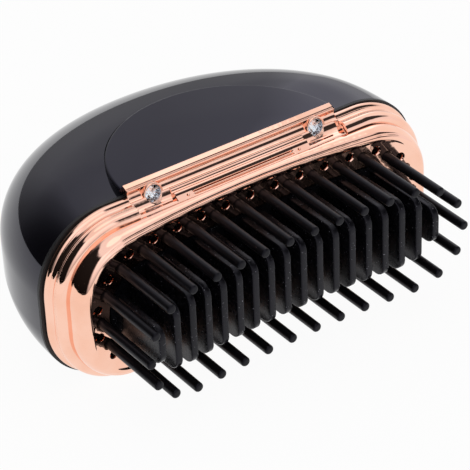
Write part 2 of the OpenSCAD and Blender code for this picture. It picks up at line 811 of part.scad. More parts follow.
module thermistor() {
    color("#8a5a2b") at_mid() translate([clamp_screw_x[0] + 6.5, base_back_y - 0.9, base_half_h - 2.5]) {
        sphere(r = 1, $fn = 32);
        for (s = [-1, 1]) translate([s * 0.45, 0, 0]) rotate([-90, 0, 0])
            cylinder(r = 0.2, h = 3.4, $fn = 24);
    }
}

module thermal_fuse() {
    color("#c9b48a") at_mid() translate([ceramic_x - fuse_len, clamp_back_y + fuse_r, ceramic_h / 4]) {
        rotate([0, 90, 0]) cylinder(r = fuse_r, h = fuse_len);
        for (x = [-fuse_lead, fuse_len]) translate([x, 0, 0]) rotate([0, 90, 0])
            cylinder(r = fuse_r / 4, h = fuse_lead, $fn = 24);
    }
}

module heat_shield() {
    outer_a = flange_half_len + shield_wall + 0.2;
    outer_b = flange_half_h + shield_wall + 0.2;
    color("#c8b27a") at_mid() difference() {
        union() {
            along(shield_floor_y + shield_t, shield_y) stadium(outer_a, outer_b);
            frame_screw_spots() along(shield_y + 1, shield_y) circle(r = 2.4);
            for (sx = [-1, 1], sz = [-1, 1])
                translate([sx * frame_screw_x - 2.4, shield_y, sz > 0 ? outer_b - 1 : -frame_screw_z])
                cube([4.8, 1, frame_screw_z - outer_b + 1]);
        }
        along(shield_floor_y, shield_y - cut) stadium(outer_a - shield_wall, outer_b - shield_wall);
        frame_screw_spots() along(shield_y + 5, shield_y - 5) circle(r = screw_r + slide_gap);
        for (s = [-1, 1]) translate([heater_lead_x, 0, s * heater_lead_z])
            along(10, -20) circle(r = lead_r + 0.4);
    }
}

module frame_screws() {
    color("#a9abb0") at_mid() frame_screw_spots()
        translate([0, shield_y + 1, 0]) rotate([-90, 0, 0]) pan_screw(1 + flange_t + boss_bite);
}

module battery_cell() {
    color("#3f6fa8") at_mid() translate([cell_x - cell_len / 2, cell_y, 0]) rotate([0, 90, 0])
        cylinder(r = cell_r, h = cell_len);
}

module cell_tabs() {
    color("#c4c6c8") at_mid() for (x = [-cell_len / 2 - tab_t, cell_len / 2])
        translate([cell_x + x, cell_y, 0]) rotate([0, 90, 0]) cylinder(r = tab_r, h = tab_t);
}

module battery_tray() {
    plate_x = board_x - board_gap;
    color("#2f2e34") at_mid() difference() {
        union() {
            translate([tray_x0, cell_y, 0]) rotate([0, 90, 0]) cylinder(r = tray_r, h = tray_x1 - tray_x0);
            translate([tray_x0, tray_front_y, -tray_r])
                cube([tray_x1 - tray_x0, cell_y - tray_front_y, 2 * tray_r]);
            for (x = [tray_x0 - ear_len, tray_x1 - tray_t])
                translate([x, ear_y - ear_t, -3.5]) cube([ear_len + tray_t, ear_t, 7]);
            translate([tray_x1 - tray_t, ear_y - ear_t, -3.5]) cube([plate_x - tray_x1 + tray_t, ear_t, 7]);
            translate([plate_x - board_plate_t, board_y0, -board_half_h])
                cube([board_plate_t, board_y1 - board_y0, 2 * board_half_h]);
            for (p = board_screw_at) at_end(p[0], plate_x - 0.5) translate([-p[1], 0, 0])
                cylinder(r = 2.2, h = board_x - plate_x + 0.5);
        }
        translate([tray_x0 + tray_t, cell_y, 0]) rotate([0, 90, 0])
            cylinder(r = cell_r + cell_gap, h = tray_x1 - tray_x0 - 2 * tray_t);
        translate([tray_x0 + tray_t, 0, -cell_r - cell_gap])
            cube([tray_x1 - tray_x0 - 2 * tray_t, cell_y, 2 * (cell_r + cell_gap)]);
        translate([tray_x0 - cut, 0, -tray_r - cut])
            cube([tray_x1 - tray_x0 + 2 * cut, tray_front_y, 2 * (tray_r + cut)]);
        translate([plate_x - 5, heater_lead_y - 2, -7]) cube([10, battery_lead_y - heater_lead_y + 4, 14]);
        tray_screw_spots() translate([0, -5, 0]) rotate([-90, 0, 0])
            cylinder(r = screw_r + slide_gap, h = 10);
        for (p = board_screw_at) at_end(p[0], plate_x - 5) translate([-p[1], 0, 0])
            cylinder(r = screw_r + seat_gap / 5, h = 10);
    }
}

module tray_screws() {
    color("#a9abb0") at_mid() tray_screw_spots() translate([0, -ear_t, 0]) rotate([90, 0, 0])
        pan_screw(ear_t + tray_bite);
}

module control_board() {
    color("#2d6b46") at_mid() difference() {
        translate([board_x, board_y0, -board_half_h]) cube([board_t, board_y1 - board_y0, 2 * board_half_h]);
        for (p = board_screw_at) at_end(p[0], board_x - cut) translate([-p[1], 0, 0])
            cylinder(r = screw_r + slide_gap, h = board_t + 2 * cut);
    }
}

module board_screws() {
    color("#a9abb0") at_mid() for (p = board_screw_at) at_end(p[0], board_face_x)
        translate([-p[1], 0, 0]) pan_screw(board_t + boss_bite);
}

module board_chips() {
    low_z = board_screw_in - board_half_h;
    color("#1a1a1d") at_mid() {
        translate([board_face_x, button_y, switch_w / 2 + 1.5]) cube(chip_size);
        translate([board_face_x, button_y, low_z]) cube(charger_size);
        translate([board_face_x, socket_y - coil_size[1] / 2, socket_w / 2 + 1.5]) cube(coil_size);
    }
}

module tact_switch() {
    color("#35353a") at_mid() at_end(button_y, board_face_x) difference() {
        translate([-switch_w / 2, -switch_w / 2, 0]) cube([switch_w, switch_w, switch_h]);
        translate([0, 0, switch_h - 1.6]) cylinder(r = plunger_r + slide_gap, h = 3);
    }
}

module switch_plunger() {
    base_x = board_face_x + switch_h - 1.6 + button_travel + 0.3;
    color("#d8d8da") at_mid() at_end(button_y, base_x) cylinder(r = plunger_r, h = plunger_top_x - base_x);
}

module power_button() {
    stem_x = plunger_top_x;
    seat_x = button_seat_x - 0.1;
    dome = 0.5;
    color("#26252b") at_mid() at_end(button_y, 0) rotate_extrude() polygon(concat(
        [[0, stem_x], [1.6, stem_x], [1.6, seat_x - 1.3]],
        [[button_r + 1.1, seat_x - 1.3], [button_r + 1.1, seat_x]],
        [[button_r, seat_x], [button_r, button_face_x - dome]],
        arc(button_r - dome, button_face_x - dome, dome, 0, 90, 4),
        [[0, button_face_x]]
    ));
}

module status_led() {
    color("#f4f4f0") at_mid() at_end(lens_y, board_face_x) translate([-0.8, -0.8, 0]) cube([1.6, 1.6, 0.8]);
}

module indicator_lens() {
    color("#f2f2ea") at_mid() at_end(lens_y, 0) {
        translate([0, 0, board_face_x + 1]) cylinder(r = lens_r, h = wall_x(lens_y) + 0.1 - board_face_x - 1);
        translate([0, 0, inner_x(lens_y + lens_r + 0.6) - 0.9]) cylinder(r = lens_r + 0.6, h = 0.8);
    }
}

module charging_socket() {
    r = socket_t / 2;
    color("#b7bac0") at_mid() at_end(socket_y, board_face_x) difference() {
        linear_extrude(socket_h) {
            for (s = [-1, 1]) translate([s * (socket_w / 2 - r), 0]) circle(r);
            square([socket_w - 2 * r, socket_t], center = true);
        }
        translate([0, 0, 2.6]) linear_extrude(socket_h) {
            for (s = [-1, 1]) translate([s * (socket_w / 2 - r), 0]) circle(r - 0.35);
            square([socket_w - 2 * r, socket_t - 0.7], center = true);
        }
    }
    color("#b7bac0") at_mid() at_end(socket_y, board_face_x)
        translate([-(socket_w / 2 - r), -0.35, 2]) cube([socket_w - 2 * r, 0.7, socket_h - 3.2]);
}

module battery_leads() {
    near_x = cell_x + cell_len / 2 + tab_t + lead_r;
    far_x = cell_x - cell_len / 2 - tab_t - lead_r;
    color("#b23a2e") at_mid() {
        wire([[near_x, cell_y - 1, 2], [near_x, battery_lead_y, 2], [board_x, battery_lead_y, 2]], lead_r);
        wire([[far_x, cell_y - 1, -2], [far_x, battery_lead_y, -2], [board_x, battery_lead_y, -2]], lead_r);
    }
}

module heater_leads() {
    color("#7d2f2a") at_mid() for (s = [-1, 1])
        wire([
            [heater_lead_x, clamp_back_y, s * heater_lead_z],
            [heater_lead_x, heater_lead_y, s * heater_lead_z],
            [board_x, heater_lead_y, s * heater_lead_z]
        ], lead_r);
}

main_shell();
top_panel();
shell_gasket();
outer_band();
bridge_trim();
left_stone();
right_stone();
face_plate();
outer_pins();
pin_frame();
heating_blades();
heater_base();
ceramic_heaters();
heater_clamp();
clamp_screws();
thermistor();
thermal_fuse();
heat_shield();
frame_screws();
battery_cell();
cell_tabs();
battery_tray();
tray_screws();
control_board();
board_screws();
board_chips();
tact_switch();
switch_plunger();
power_button();
status_led();
indicator_lens();
charging_socket();
battery_leads();
heater_leads();
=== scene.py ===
"""Studio scene of a palm-size hair straightening brush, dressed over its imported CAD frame.

A glossy black pebble casing carries a rose gold band, a bridge with two crystal stones and a
bowed face plate, from which thirty nylon pins and eighteen heated blades stand. Lengths are
millimetres in the CAD frame: X along the face, -Y the way the pins point, +Z up from the rest
face. Every mesh is scaled to metres as it is made.
"""

import logging
from dataclasses import dataclass, field
from enum import Enum

import bmesh
import bpy
import numpy as np
from mathutils import Matrix

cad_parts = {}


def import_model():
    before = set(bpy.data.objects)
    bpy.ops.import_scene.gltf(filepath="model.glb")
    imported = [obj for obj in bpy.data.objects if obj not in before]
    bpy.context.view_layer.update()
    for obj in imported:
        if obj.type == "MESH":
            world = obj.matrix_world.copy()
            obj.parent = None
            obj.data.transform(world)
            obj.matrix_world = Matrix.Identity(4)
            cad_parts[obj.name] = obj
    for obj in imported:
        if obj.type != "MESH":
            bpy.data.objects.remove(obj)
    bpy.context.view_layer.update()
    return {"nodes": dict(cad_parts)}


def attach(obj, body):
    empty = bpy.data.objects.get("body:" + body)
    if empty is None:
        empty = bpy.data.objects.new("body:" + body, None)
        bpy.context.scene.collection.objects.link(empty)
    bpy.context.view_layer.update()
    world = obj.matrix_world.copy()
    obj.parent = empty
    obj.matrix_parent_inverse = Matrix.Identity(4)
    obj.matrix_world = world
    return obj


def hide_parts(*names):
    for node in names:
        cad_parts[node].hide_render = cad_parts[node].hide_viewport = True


LOG = logging.getLogger("straightening_brush")
# A millimetre in metres, the Y of the casing's front plane and the height of the middle.
MM = 0.001
FRONT_Y = -9.0
MID_Z = 24.2
# Further than any side of the brush, for blocks that cut or keep one side of a plane.
FAR = 80.0
SIDES = {-1: "left", 1: "right"}
RIGHT, AHEAD, UP = np.array([1.0, 0, 0]), np.array([0, -1.0, 0]), np.array([0, 0, 1.0])

Array = np.ndarray
Tree = bpy.types.NodeTree
Socket = bpy.types.NodeSocket
Node = bpy.types.Node
Material = bpy.types.Material
Piece = bpy.types.Object
Place = tuple[float, float, float]


class Body(Enum):
    """The CAD bodies that pieces ride on."""

    BRUSH = "brush"
    BUTTON = "button"


class Carve(Enum):
    """How a tool solid changes the solid it meets."""

    JOIN = "UNION"
    CUT = "DIFFERENCE"
    KEEP = "INTERSECT"


# ---- colours and nodes


def srgb(code: str) -> tuple[float, float, float, float]:
    """Turns an sRGB hex code into linear red, green, blue and a full alpha.

    Args:
        code: Six hex digits after a hash.

    Returns:
        Linear colour with alpha 1.
    """
    value = np.array([int(code[i : i + 2], 16) for i in (1, 3, 5)]) / 255.0
    linear = np.where(value <= 0.04045, value / 12.92, ((value + 0.055) / 1.055) ** 2.4)
    return (*linear.tolist(), 1.0)


def add_node(tree: Tree, kind: str, inputs: dict | None = None, **settings: object) -> Node:
    """Adds a node with its settings, and fills or links its inputs.

    Args:
        tree: The node tree to add to.
        kind: The node's type name.
        inputs: Value or output socket for each input, by name or number.
        **settings: Attributes set on the node.

    Returns:
        The new node.
    """
    node = tree.nodes.new(kind)
    for key, value in settings.items():
        setattr(node, key, value)
    for key, value in (inputs or {}).items():
        if isinstance(value, Socket):
            tree.links.new(value, node.inputs[key])
        else:
            node.inputs[key].default_value = value
    return node


def math_node(tree: Tree, operation: str, first: Socket, second: Socket | float) -> Socket:
    """Joins two values with a maths node."""
    return add_node(tree, "ShaderNodeMath", {0: first, 1: second}, operation=operation).outputs[0]


def clear_tree(owner: Material | bpy.types.World) -> Tree:
    """Empties the node tree of a material or a world.

    Args:
        owner: The material or world, which uses nodes from here on.

    Returns:
        Its empty tree.
    """
    owner.use_nodes = True
    owner.node_tree.nodes.clear()
    return owner.node_tree


def set_ramp(node: Node, stops: list[tuple[float, str]]) -> None:
    """Sets a colour ramp's stops from positions and hex codes.

    Args:
        node: The colour ramp node.
        stops: Position and hex code of each stop.
    """
    ramp = node.color_ramp
    while len(ramp.elements) < len(stops):
        ramp.elements.new(0.5)
    for element, (place, code) in zip(ramp.elements, stops):
        element.position = place
        element.color = srgb(code)


# ---- finishes


@dataclass(frozen=True)
class Finish:
    """A surface finish whose colour, gloss and small relief come from noise in object space.

    Attributes:
        name: Material name.
        colour: Main colour.
        shade: Colour of the darker or lighter patches.
        roughness: Middle roughness.
        rough_swing: How far the roughness moves either way.
        metallic: 1 for bare or plated metal.
        ior: Index of refraction of the non-metal.
        patch_mm: Size of the colour patches.
        grain_mm: Size of the surface grain.
        relief_mm: Height of the grain.
        tint: Tint of a non-metal's reflections; where it isn't white it is painted light,
            colouring or dimming what they show.
    """

    name: str
    colour: str
    shade: str
    roughness: float
    rough_swing: float
    metallic: float
    ior: float
    patch_mm: float
    grain_mm: float
    relief_mm: float
    tint: str = "#ffffff"

    def start(self) -> tuple[Material, Tree, Node, Socket]:
        """Makes the material with its shader and object coordinates.

        Returns:
            The material, its tree, the shader node and the coordinate socket.
        """
        material = bpy.data.materials.new(self.name)
        tree = clear_tree(material)
        output = add_node(tree, "ShaderNodeOutputMaterial")
        inputs = {"Metallic": self.metallic}
        if not self.metallic:
            inputs["IOR"] = self.ior
            inputs["Specular Tint"] = srgb(self.tint)
        shader = add_node(tree, "ShaderNodeBsdfPrincipled", inputs)
        tree.links.new(shader.outputs[0], output.inputs[0])
        place = add_node(tree, "ShaderNodeTexCoord").outputs["Object"]
        return material, tree, shader, place

    def noise(self, tree: Tree, place: Socket, size_mm: float, detail: float = 3.0) -> Socket:
        """Returns a noise of about the given size in object space."""
        inputs = {"Vector": place, "Scale": 1.0 / (size_mm * MM), "Detail": detail}
        return add_node(tree, "ShaderNodeTexNoise", inputs).outputs[0]

    def colour_nodes(self, tree: Tree, place: Socket) -> Socket:
        """Blends the two colours over soft patches.

        Args:
            tree: The material's tree.
            place: Object coordinates.

        Returns:
            The blended colour.
        """
        patches = self.noise(tree, place, self.patch_mm)
        ramp = add_node(tree, "ShaderNodeValToRGB", {"Fac": patches})
        set_ramp(ramp, [(0.35, self.shade), (0.6, self.colour)])
        return ramp.outputs[0]

    def gloss_nodes(self, tree: Tree, place: Socket, shader: Node, size_mm: float) -> None:
        """Moves the roughness between its limits by a noise of the given size.

        Args:
            tree: The material's tree.
            place: Object coordinates.
            shader: The shader, whose roughness is set.
            size_mm: Size of the patches.
        """
        low, high = self.roughness - self.rough_swing, self.roughness + self.rough_swing
        inputs = {"Value": self.noise(tree, place, size_mm), "To Min": low, "To Max": high}
        spread = add_node(tree, "ShaderNodeMapRange", inputs)
        tree.links.new(spread.outputs[0], shader.inputs["Roughness"])

    def relief_nodes(self, tree: Tree, place: Socket) -> Socket:
        """Raises the fine grain as a bump of its real height.

        Args:
            tree: The material's tree.
            place: Object coordinates.

        Returns:
            The bump's normal.
        """
        grain = self.noise(tree, place, self.grain_mm, 2.0)
        inputs = {"Height": grain, "Distance": self.relief_mm * MM, "Strength": 1.0}
        return add_node(tree, "ShaderNodeBump", inputs).outputs[0]

    def build(self) -> Material:
        """Makes the finished material.

        Returns:
            The material.
        """
        material, tree, shader, place = self.start()
        tree.links.new(self.colour_nodes(tree, place), shader.inputs["Base Color"])
        self.gloss_nodes(tree, place, shader, self.patch_mm * 0.6)
        if self.relief_mm:
            tree.links.new(self.relief_nodes(tree, place), shader.inputs["Normal"])
        return material


@dataclass(frozen=True)
class ChippedCoating(Finish):
    """A dark baked coating with small bright specks where it is nicked or dusty.

    Attributes:
        speck: Colour of a speck.
        speck_mm: Spacing of the specks.
        speck_share: Noise level above which a speck shows.
        speck_edge: Rise of the noise from a speck's edge to its full colour.
    """

    speck: str = "#8d8b93"
    speck_mm: float = 0.55
    speck_share: float = 0.74
    speck_edge: float = 0.03

    def colour_nodes(self, tree: Tree, place: Socket) -> Socket:
        """Adds scattered specks to the patchy coating.

        Args:
            tree: The material's tree.
            place: Object coordinates.

        Returns:
            The speckled colour.
        """
        coat = super().colour_nodes(tree, place)
        dots = self.noise(tree, place, self.speck_mm, 1.0)
        full = self.speck_share + self.speck_edge
        inputs = {"Value": dots, "From Min": self.speck_share, "From Max": full}
        mask = add_node(tree, "ShaderNodeMapRange", inputs).outputs[0]
        mixed = {0: mask, 6: coat, 7: srgb(self.speck)}
        return add_node(tree, "ShaderNodeMix", mixed, data_type="RGBA").outputs[2]


@dataclass(frozen=True)
class ClearGlass(Finish):
    """Cut glass that light passes through."""

    def build(self) -> Material:
        """Makes the glass with a faint smear in its polish.

        Returns:
            The material.
        """
        material, tree, shader, place = self.start()
        shader.inputs["Base Color"].default_value = srgb(self.colour)
        shader.inputs["Transmission Weight"].default_value = 1.0
        self.gloss_nodes(tree, place, shader, self.patch_mm)
        return material


# Injection-moulded ABS out of a polished mould: near black, mirror gloss, faintly wavy, with
# a painted violet tint on its reflections that stands for the colour of the light.
CASING_ABS = Finish(
    "gloss_black_abs", "#0b0a0e", "#0d0c11", 0.05, 0.012, 0, 1.5, 40, 9, 0.006, "#e4e2ff"
)
# The raised panel is the same polished ABS, a little flatter; a darker painted violet tint on its
# reflections paints shade on it.
PANEL_ABS = Finish(
    "gloss_black_abs_painted_shade", "#0c0b10", "#0e0d12", 0.045, 0.01, 0, 1.5, 40, 14, 0.004, "#c0bde9"
)
# Vacuum-plated rose gold on ABS: mirror bright, with the orange-peel waves of its lacquer.
ROSE_GOLD = Finish("rose_gold_plating", "#fdcdb7", "#f9c3aa", 0.06, 0.025, 1, 1.5, 9, 3.2, 0.04)
# Glass-filled nylon pins: satin black with a fine drawn grain and a little dust; a grey violet
# tint on their reflections is painted shade and the painted colour of the light.
PIN_NYLON = ChippedCoating(
    "satin_black_nylon", "#0a0a0c", "#0e0d11", 0.34, 0.06, 0, 1.42, 6, 0.5, 0.012, "#9a98a8",
    "#4a4850", 0.5, 0.78,
)
# Die-cast aluminium under a baked non-stick coating: satin black, nicked on its edges; a grey
# violet tint on its reflections is painted shade and the painted colour of the light.
BLADE_COATING = ChippedCoating(
    "coated_aluminium", "#0b0b0e", "#100f14", 0.27, 0.08, 0, 1.42, 5, 0.7, 0.02, "#b4b2c0",
    "#8f8d95", 0.45, 0.73,
)
# Moulded black rubber: matt, slightly grey.
GASKET_RUBBER = Finish("gasket_rubber", "#101012", "#17171a", 0.55, 0.08, 0, 1.52, 5, 0.4, 0.01)
# Silver foil behind each stone: bright, a little crumpled.
STONE_FOIL = Finish("silver_foil", "#e9edf2", "#c8ced8", 0.12, 0.05, 1, 1.5, 1.2, 0.8, 0.02)
# Cut lead-free crystal glass: clear and bright, broken up by its facets.
CRYSTAL = ClearGlass("crystal_glass", "#f7fbff", "#f7fbff", 0.02, 0.02, 0, 1.56, 2.0, 1.0, 0.0)
# Nickel-plated steel of screws, tabs and the socket's shell: silver, slightly satin.
NICKEL_STEEL = Finish(
    "nickel_plated_steel", "#c9cacf", "#b3b4ba", 0.24, 0.06, 1, 1.5, 4, 0.5, 0.01
)
# Fired alumina: off-white, faintly sandy.
ALUMINA = Finish("alumina_ceramic", "#ded8c8", "#cfc7b4", 0.6, 0.08, 0, 1.6, 6, 0.3, 0.02)
# Pressed mica sheet: tan flakes with a dull sparkle.
MICA_SHEET = Finish("pressed_mica", "#b99f72", "#9b8257", 0.45, 0.12, 0, 1.58, 2.2, 0.9, 0.03)
# Inner structural mouldings in glass-filled nylon: dark grey and matt.
INNER_NYLON = Finish("inner_nylon", "#2b2b30", "#232327", 0.5, 0.06, 0, 1.53, 8, 0.35, 0.015)
# Heat-shrink sleeve of the cell, without its print: plain satin blue.
CELL_SLEEVE = Finish("blue_shrink_sleeve", "#2f62a3", "#27558f", 0.32, 0.06, 0, 1.5, 14, 1.6, 0.01)
# Glass-epoxy board under solder mask: deep green with a soft gloss.
SOLDER_MASK = Finish(
    "green_solder_mask", "#1c5a3a", "#174c31", 0.35, 0.06, 0, 1.5, 3.5, 0.6, 0.012
)
# Epoxy-moulded chip packages: dull, nearly black.
CHIP_EPOXY = Finish("chip_epoxy", "#17171a", "#1f1f23", 0.5, 0.06, 0, 1.55, 3, 0.3, 0.01)
# Natural ABS of the plunger and the status light: warm white, lightly glossy.
WHITE_ABS = Finish("white_abs", "#e8e8e3", "#dededa", 0.35, 0.05, 0, 1.5, 6, 0.6, 0.006)
# Frosted polycarbonate light pipe: pale and satin.
LIGHT_PIPE = Finish(
    "frosted_polycarbonate", "#e4e6e4", "#d4d7d6", 0.3, 0.05, 0, 1.58, 3, 0.4, 0.008
)
# Silicone wire sheath: soft red, nearly matt.
WIRE_SILICONE = Finish(
    "red_silicone_sheath", "#a82a22", "#93231c", 0.45, 0.06, 0, 1.42, 5, 0.5, 0.01
)


# ---- mesh helpers


def add_object(name: str, data: bpy.types.ID) -> Piece:
    """Puts a new object of the data in the scene.

    Args:
        name: Object name.
        data: Its mesh, lamp or camera.

    Returns:
        The new object, at the origin.
    """
    piece = bpy.data.objects.new(name, data)
    bpy.context.scene.collection.objects.link(piece)
    return piece


def wear(piece: Piece, material: Material) -> None:
    """Gives a piece one material in place of those that it has."""
    piece.data.materials.clear()
    piece.data.materials.append(material)


def ease(u: Array) -> Array:
    """Smooth step from 0 to 1 as 3 u^2 - 2 u^3."""
    return u * u * (3 - 2 * u)


def grid_faces(rows: int, cols: int, wrap_rows: bool = False, wrap_cols: bool = False) -> Array:
    """Quads between the points of a grid, row by row.

    Args:
        rows: Number of rows of points.
        cols: Number of points in a row.
        wrap_rows: Joins the last row to the first.
        wrap_cols: Joins the last column to the first.

    Returns:
        Point numbers of each quad, shape (n, 4).
    """
    i = np.arange(rows if wrap_rows else rows - 1)[:, None]
    j = np.arange(cols if wrap_cols else cols - 1)[None, :]
    a = i * cols + j
    b = i * cols + (j + 1) % cols
    c = ((i + 1) % rows) * cols + (j + 1) % cols
    d = ((i + 1) % rows) * cols + j
    return np.stack([a, b, c, d], axis=-1).reshape(-1, 4)


@dataclass
class Solid:
    """Points and faces gathered before they become a mesh.

    Attributes:
        points: Arrays of points in millimetres.
        faces: Point numbers of each face.
        count: Number of points so far.
    """

    points: list[Array] = field(default_factory=list)
    faces: list[list[int]] = field(default_factory=list)
    count: int = 0

    def add(self, points: Array, faces: Array | list[list[int]]) -> "Solid":
        """Adds points with the faces between them.

        Args:
            points: Points in millimetres, shape (n, 3).
            faces: Point numbers that start from 0 for these points.

        Returns:
            This solid, so that calls chain.
        """
        rows = faces.tolist() if isinstance(faces, np.ndarray) else faces
        self.faces += [[v + self.count for v in row] for row in rows]
        self.points.append(points.reshape(-1, 3))
        self.count += len(self.points[-1])
        return self

    def tube(self, rings: Array, closed: bool = False) -> "Solid":
        """Adds a skin over rings of points, capped at both ends unless it is closed.

        Args:
            rings: Points, shape (rings, points in a ring, 3).
            closed: Joins the last ring to the first and adds no caps.

        Returns:
            This solid.
        """
        rows, cols = rings.shape[:2]
        faces = grid_faces(rows, cols, closed, True).tolist()
        if not closed:
            faces.append(list(range(cols))[::-1])
            faces.append([(rows - 1) * cols + k for k in range(cols)])
        return self.add(rings, faces)

    def turn(
        self, profile: Array, centre: Place, way: Array, sides: int, closed: bool = False
    ) -> "Solid":
        """Adds a profile turned about an axis, as turned and tube describe it."""
        return self.tube(turned(profile, centre, way, sides), closed)

    def to_object(self, name: str, finish: Material | None = None, crease: float = 32.0) -> Piece:
        """Makes the mesh object at the origin, in metres, with faces turned outwards.

        Args:
            name: Object name.
            finish: Its material, if it has one.
            crease: Angle in degrees past which an edge stays sharp.

        Returns:
            The new object.
        """
        mesh = bpy.data.meshes.new(name)
        mesh.from_pydata((np.concatenate(self.points) * MM).tolist(), [], self.faces)
        work = bmesh.new()
        work.from_mesh(mesh)
        bmesh.ops.remove_doubles(work, verts=work.verts, dist=1e-7)
        bmesh.ops.dissolve_degenerate(work, edges=work.edges, dist=1e-7)
        bmesh.ops.recalc_face_normals(work, faces=work.faces)
        if work.calc_volume(signed=True) < 0:
            bmesh.ops.reverse_faces(work, faces=work.faces)
        work.to_mesh(mesh)
        work.free()
        piece = add_object(name, mesh)
        if finish:
            mesh.materials.append(finish)
        smooth(mesh, crease)
        return piece


def smooth(mesh: bpy.types.Mesh, crease: float) -> None:
    """Shades a mesh smooth, with edges sharper than the crease angle kept.

    Args:
        mesh: The mesh.
        crease: Angle in degrees past which an edge stays sharp.
    """
    mesh.polygons.foreach_set("use_smooth", np.ones(len(mesh.polygons), dtype=bool))
    mesh.set_sharp_from_angle(angle=np.radians(crease))
    mesh.update()


def carve(piece: Piece, steps: list[tuple[Carve, Piece]], crease: float = 32.0) -> None:
    """Joins, cuts or keeps tool solids in turn, and leaves the plain result in the piece.

    Args:
        piece: The solid that changes.
        steps: How to use each tool solid; the tools are removed.
        crease: Angle in degrees past which an edge stays sharp.
    """
    for way, tool in steps:
        change = piece.modifiers.new("carve", "BOOLEAN")
        change.operation = way.value
        change.solver = "EXACT"
        change.object = tool
    bpy.context.view_layer.update()
    solved = piece.evaluated_get(bpy.context.evaluated_depsgraph_get())
    result = bpy.data.meshes.new_from_object(solved)
    piece.modifiers.clear()
    piece.data = result
    for _, tool in steps:
        bpy.data.objects.remove(tool)
    smooth(result, crease)


def arc(cx: float, cy: float, r: float, a0: float, a1: float, n: int) -> Array:
    """Points on a circle about (cx, cy) from angle a0 to a1 in degrees."""
    t = np.radians(np.linspace(a0, a1, n + 1))
    return np.column_stack([cx + r * np.cos(t), cy + r * np.sin(t)])


def soften(points: Array, radius: float) -> Array:
    """Rounds every corner of a closed outline with a short parabola.

    Each corner p is replaced by four points of (1-t)^2 a + 2 t (1-t) p + t^2 b, where a and b
    lie on the two edges at the radius, or at 45% of the edge where that is less.

    Args:
        points: Outline, shape (n, 2).
        radius: Distance from the corner at which the rounding starts.

    Returns:
        The rounded outline.
    """
    back = np.roll(points, 1, axis=0) - points
    on = np.roll(points, -1, axis=0) - points
    span = [np.linalg.norm(v, axis=1, keepdims=True) for v in (back, on)]
    reach = [np.minimum(radius / np.maximum(s, 1e-9), 0.45) for s in span]
    a, b = points + back * reach[0], points + on * reach[1]
    t = np.linspace(0, 1, 4)[None, :, None]
    curve = (1 - t) ** 2 * a[:, None] + 2 * t * (1 - t) * points[:, None] + t**2 * b[:, None]
    return curve.reshape(-1, 2)


@dataclass
class RoundRect:
    """A rounded rectangle in the XZ plane about the brush's middle height.

    Attributes:
        a: Half length along X.
        b: Half height along Z.
        r: Corner radius.
        bend: Points on a quarter turn, less one.
        run: Points on a straight stretch along X, less one.
    """

    a: float
    b: float
    r: float
    bend: int
    run: int

    def path(self, gap_half: float = 0.0) -> tuple[Array, Array]:
        """Points and outward directions clockwise from the top.

        A straight stretch is even steps between its corners, and a corner is its circle. The
        right upper quarter is worked out as rows of point and direction and then mirrored.

        Args:
            gap_half: Where positive, the top is left open between -gap_half and gap_half, and
                the path is open.

        Returns:
            Points (n, 2) and unit normals (n, 2), as X and Z.
        """
        u, w = self.a - self.r, max(self.b - self.r, 0.0)
        turn = np.radians(np.linspace(90, 0, self.bend + 1))
        c, s = np.cos(turn), np.sin(turn)
        top_x = np.linspace(gap_half, u, self.run // 2 + 1)[:-1]
        side_z = np.linspace(w, 0, 5)[1:]
        low_x = np.linspace(gap_half, 0, 4)[1:] if gap_half else np.zeros((0,))
        upper = np.concatenate([
            np.column_stack([top_x, np.tile([self.b, 0.0, 1.0], (len(top_x), 1))]),
            np.column_stack([u + self.r * c, w + self.r * s, c, s]),
            np.insert(np.tile([self.a, 1.0, 0.0], (len(side_z), 1)), 1, side_z, axis=1),
        ])
        low = np.column_stack([low_x, np.tile([-self.b, 0.0, -1.0], (len(low_x), 1))])
        right = np.concatenate([upper, (upper * [1, -1, 1, -1])[::-1][1:], low])
        left = (right * [-1, 1, -1, 1])[::-1][1:]
        both = np.concatenate([right, left if gap_half else left[:-1]])
        return both[:, :2], both[:, 2:]


def sweep(path: tuple[Array, Array], section: Array) -> Array:
    """Carries a section round a path; its x is the outset and its y runs forward.

    Args:
        path: Points and outward directions, as X and Z.
        section: Outline of the section, shape (m, 2).

    Returns:
        Rings of points, shape (n, m, 3).
    """
    place, out = path
    x, z = (place[:, None, k] + out[:, None, k] * section[None, :, 0] for k in (0, 1))
    return np.stack([x, FRONT_Y - section[None, :, 1] + 0 * x, z + MID_Z], axis=-1)


@dataclass(frozen=True)
class Bow:
    """The face's bow: a cylinder whose axis stands in front of the brush.

    Attributes:
        face_ahead: Face in front of the casing's front plane, at its middle.
        radius: Radius of the bow.
    """

    face_ahead: float = 8.9
    radius: float = 285.0

    def at(self, x: Array | float) -> Array:
        """Y of the face at x: the circle of the bow through the middle of the face."""
        axis_y = FRONT_Y - self.face_ahead - self.radius
        return axis_y + np.sqrt(self.radius**2 - np.square(x))


def disc_tool(
    centre: Place, way: Array, r: float, span: tuple[float, float], sides: int
) -> Solid:
    """A plain cylinder to carve with.

    Args:
        centre: Origin of its axis.
        way: Direction of its axis.
        r: Radius.
        span: Where it starts and ends along the axis.
        sides: Number of sides.

    Returns:
        The cylinder.
    """
    return Solid().turn(np.array([[r, end] for end in span]), centre, way, sides)


def frame_about(way: Array) -> tuple[Array, Array, Array]:
    """Three unit axes at right angles, the last along the given direction.

    Args:
        way: Direction of the last axis.

    Returns:
        The three axes.
    """
    w = np.asarray(way, float) / np.linalg.norm(way)
    side = RIGHT if abs(w[0]) < 0.9 else UP
    u = side - w * side.dot(w)
    u /= np.linalg.norm(u)
    return u, np.cross(w, u), w


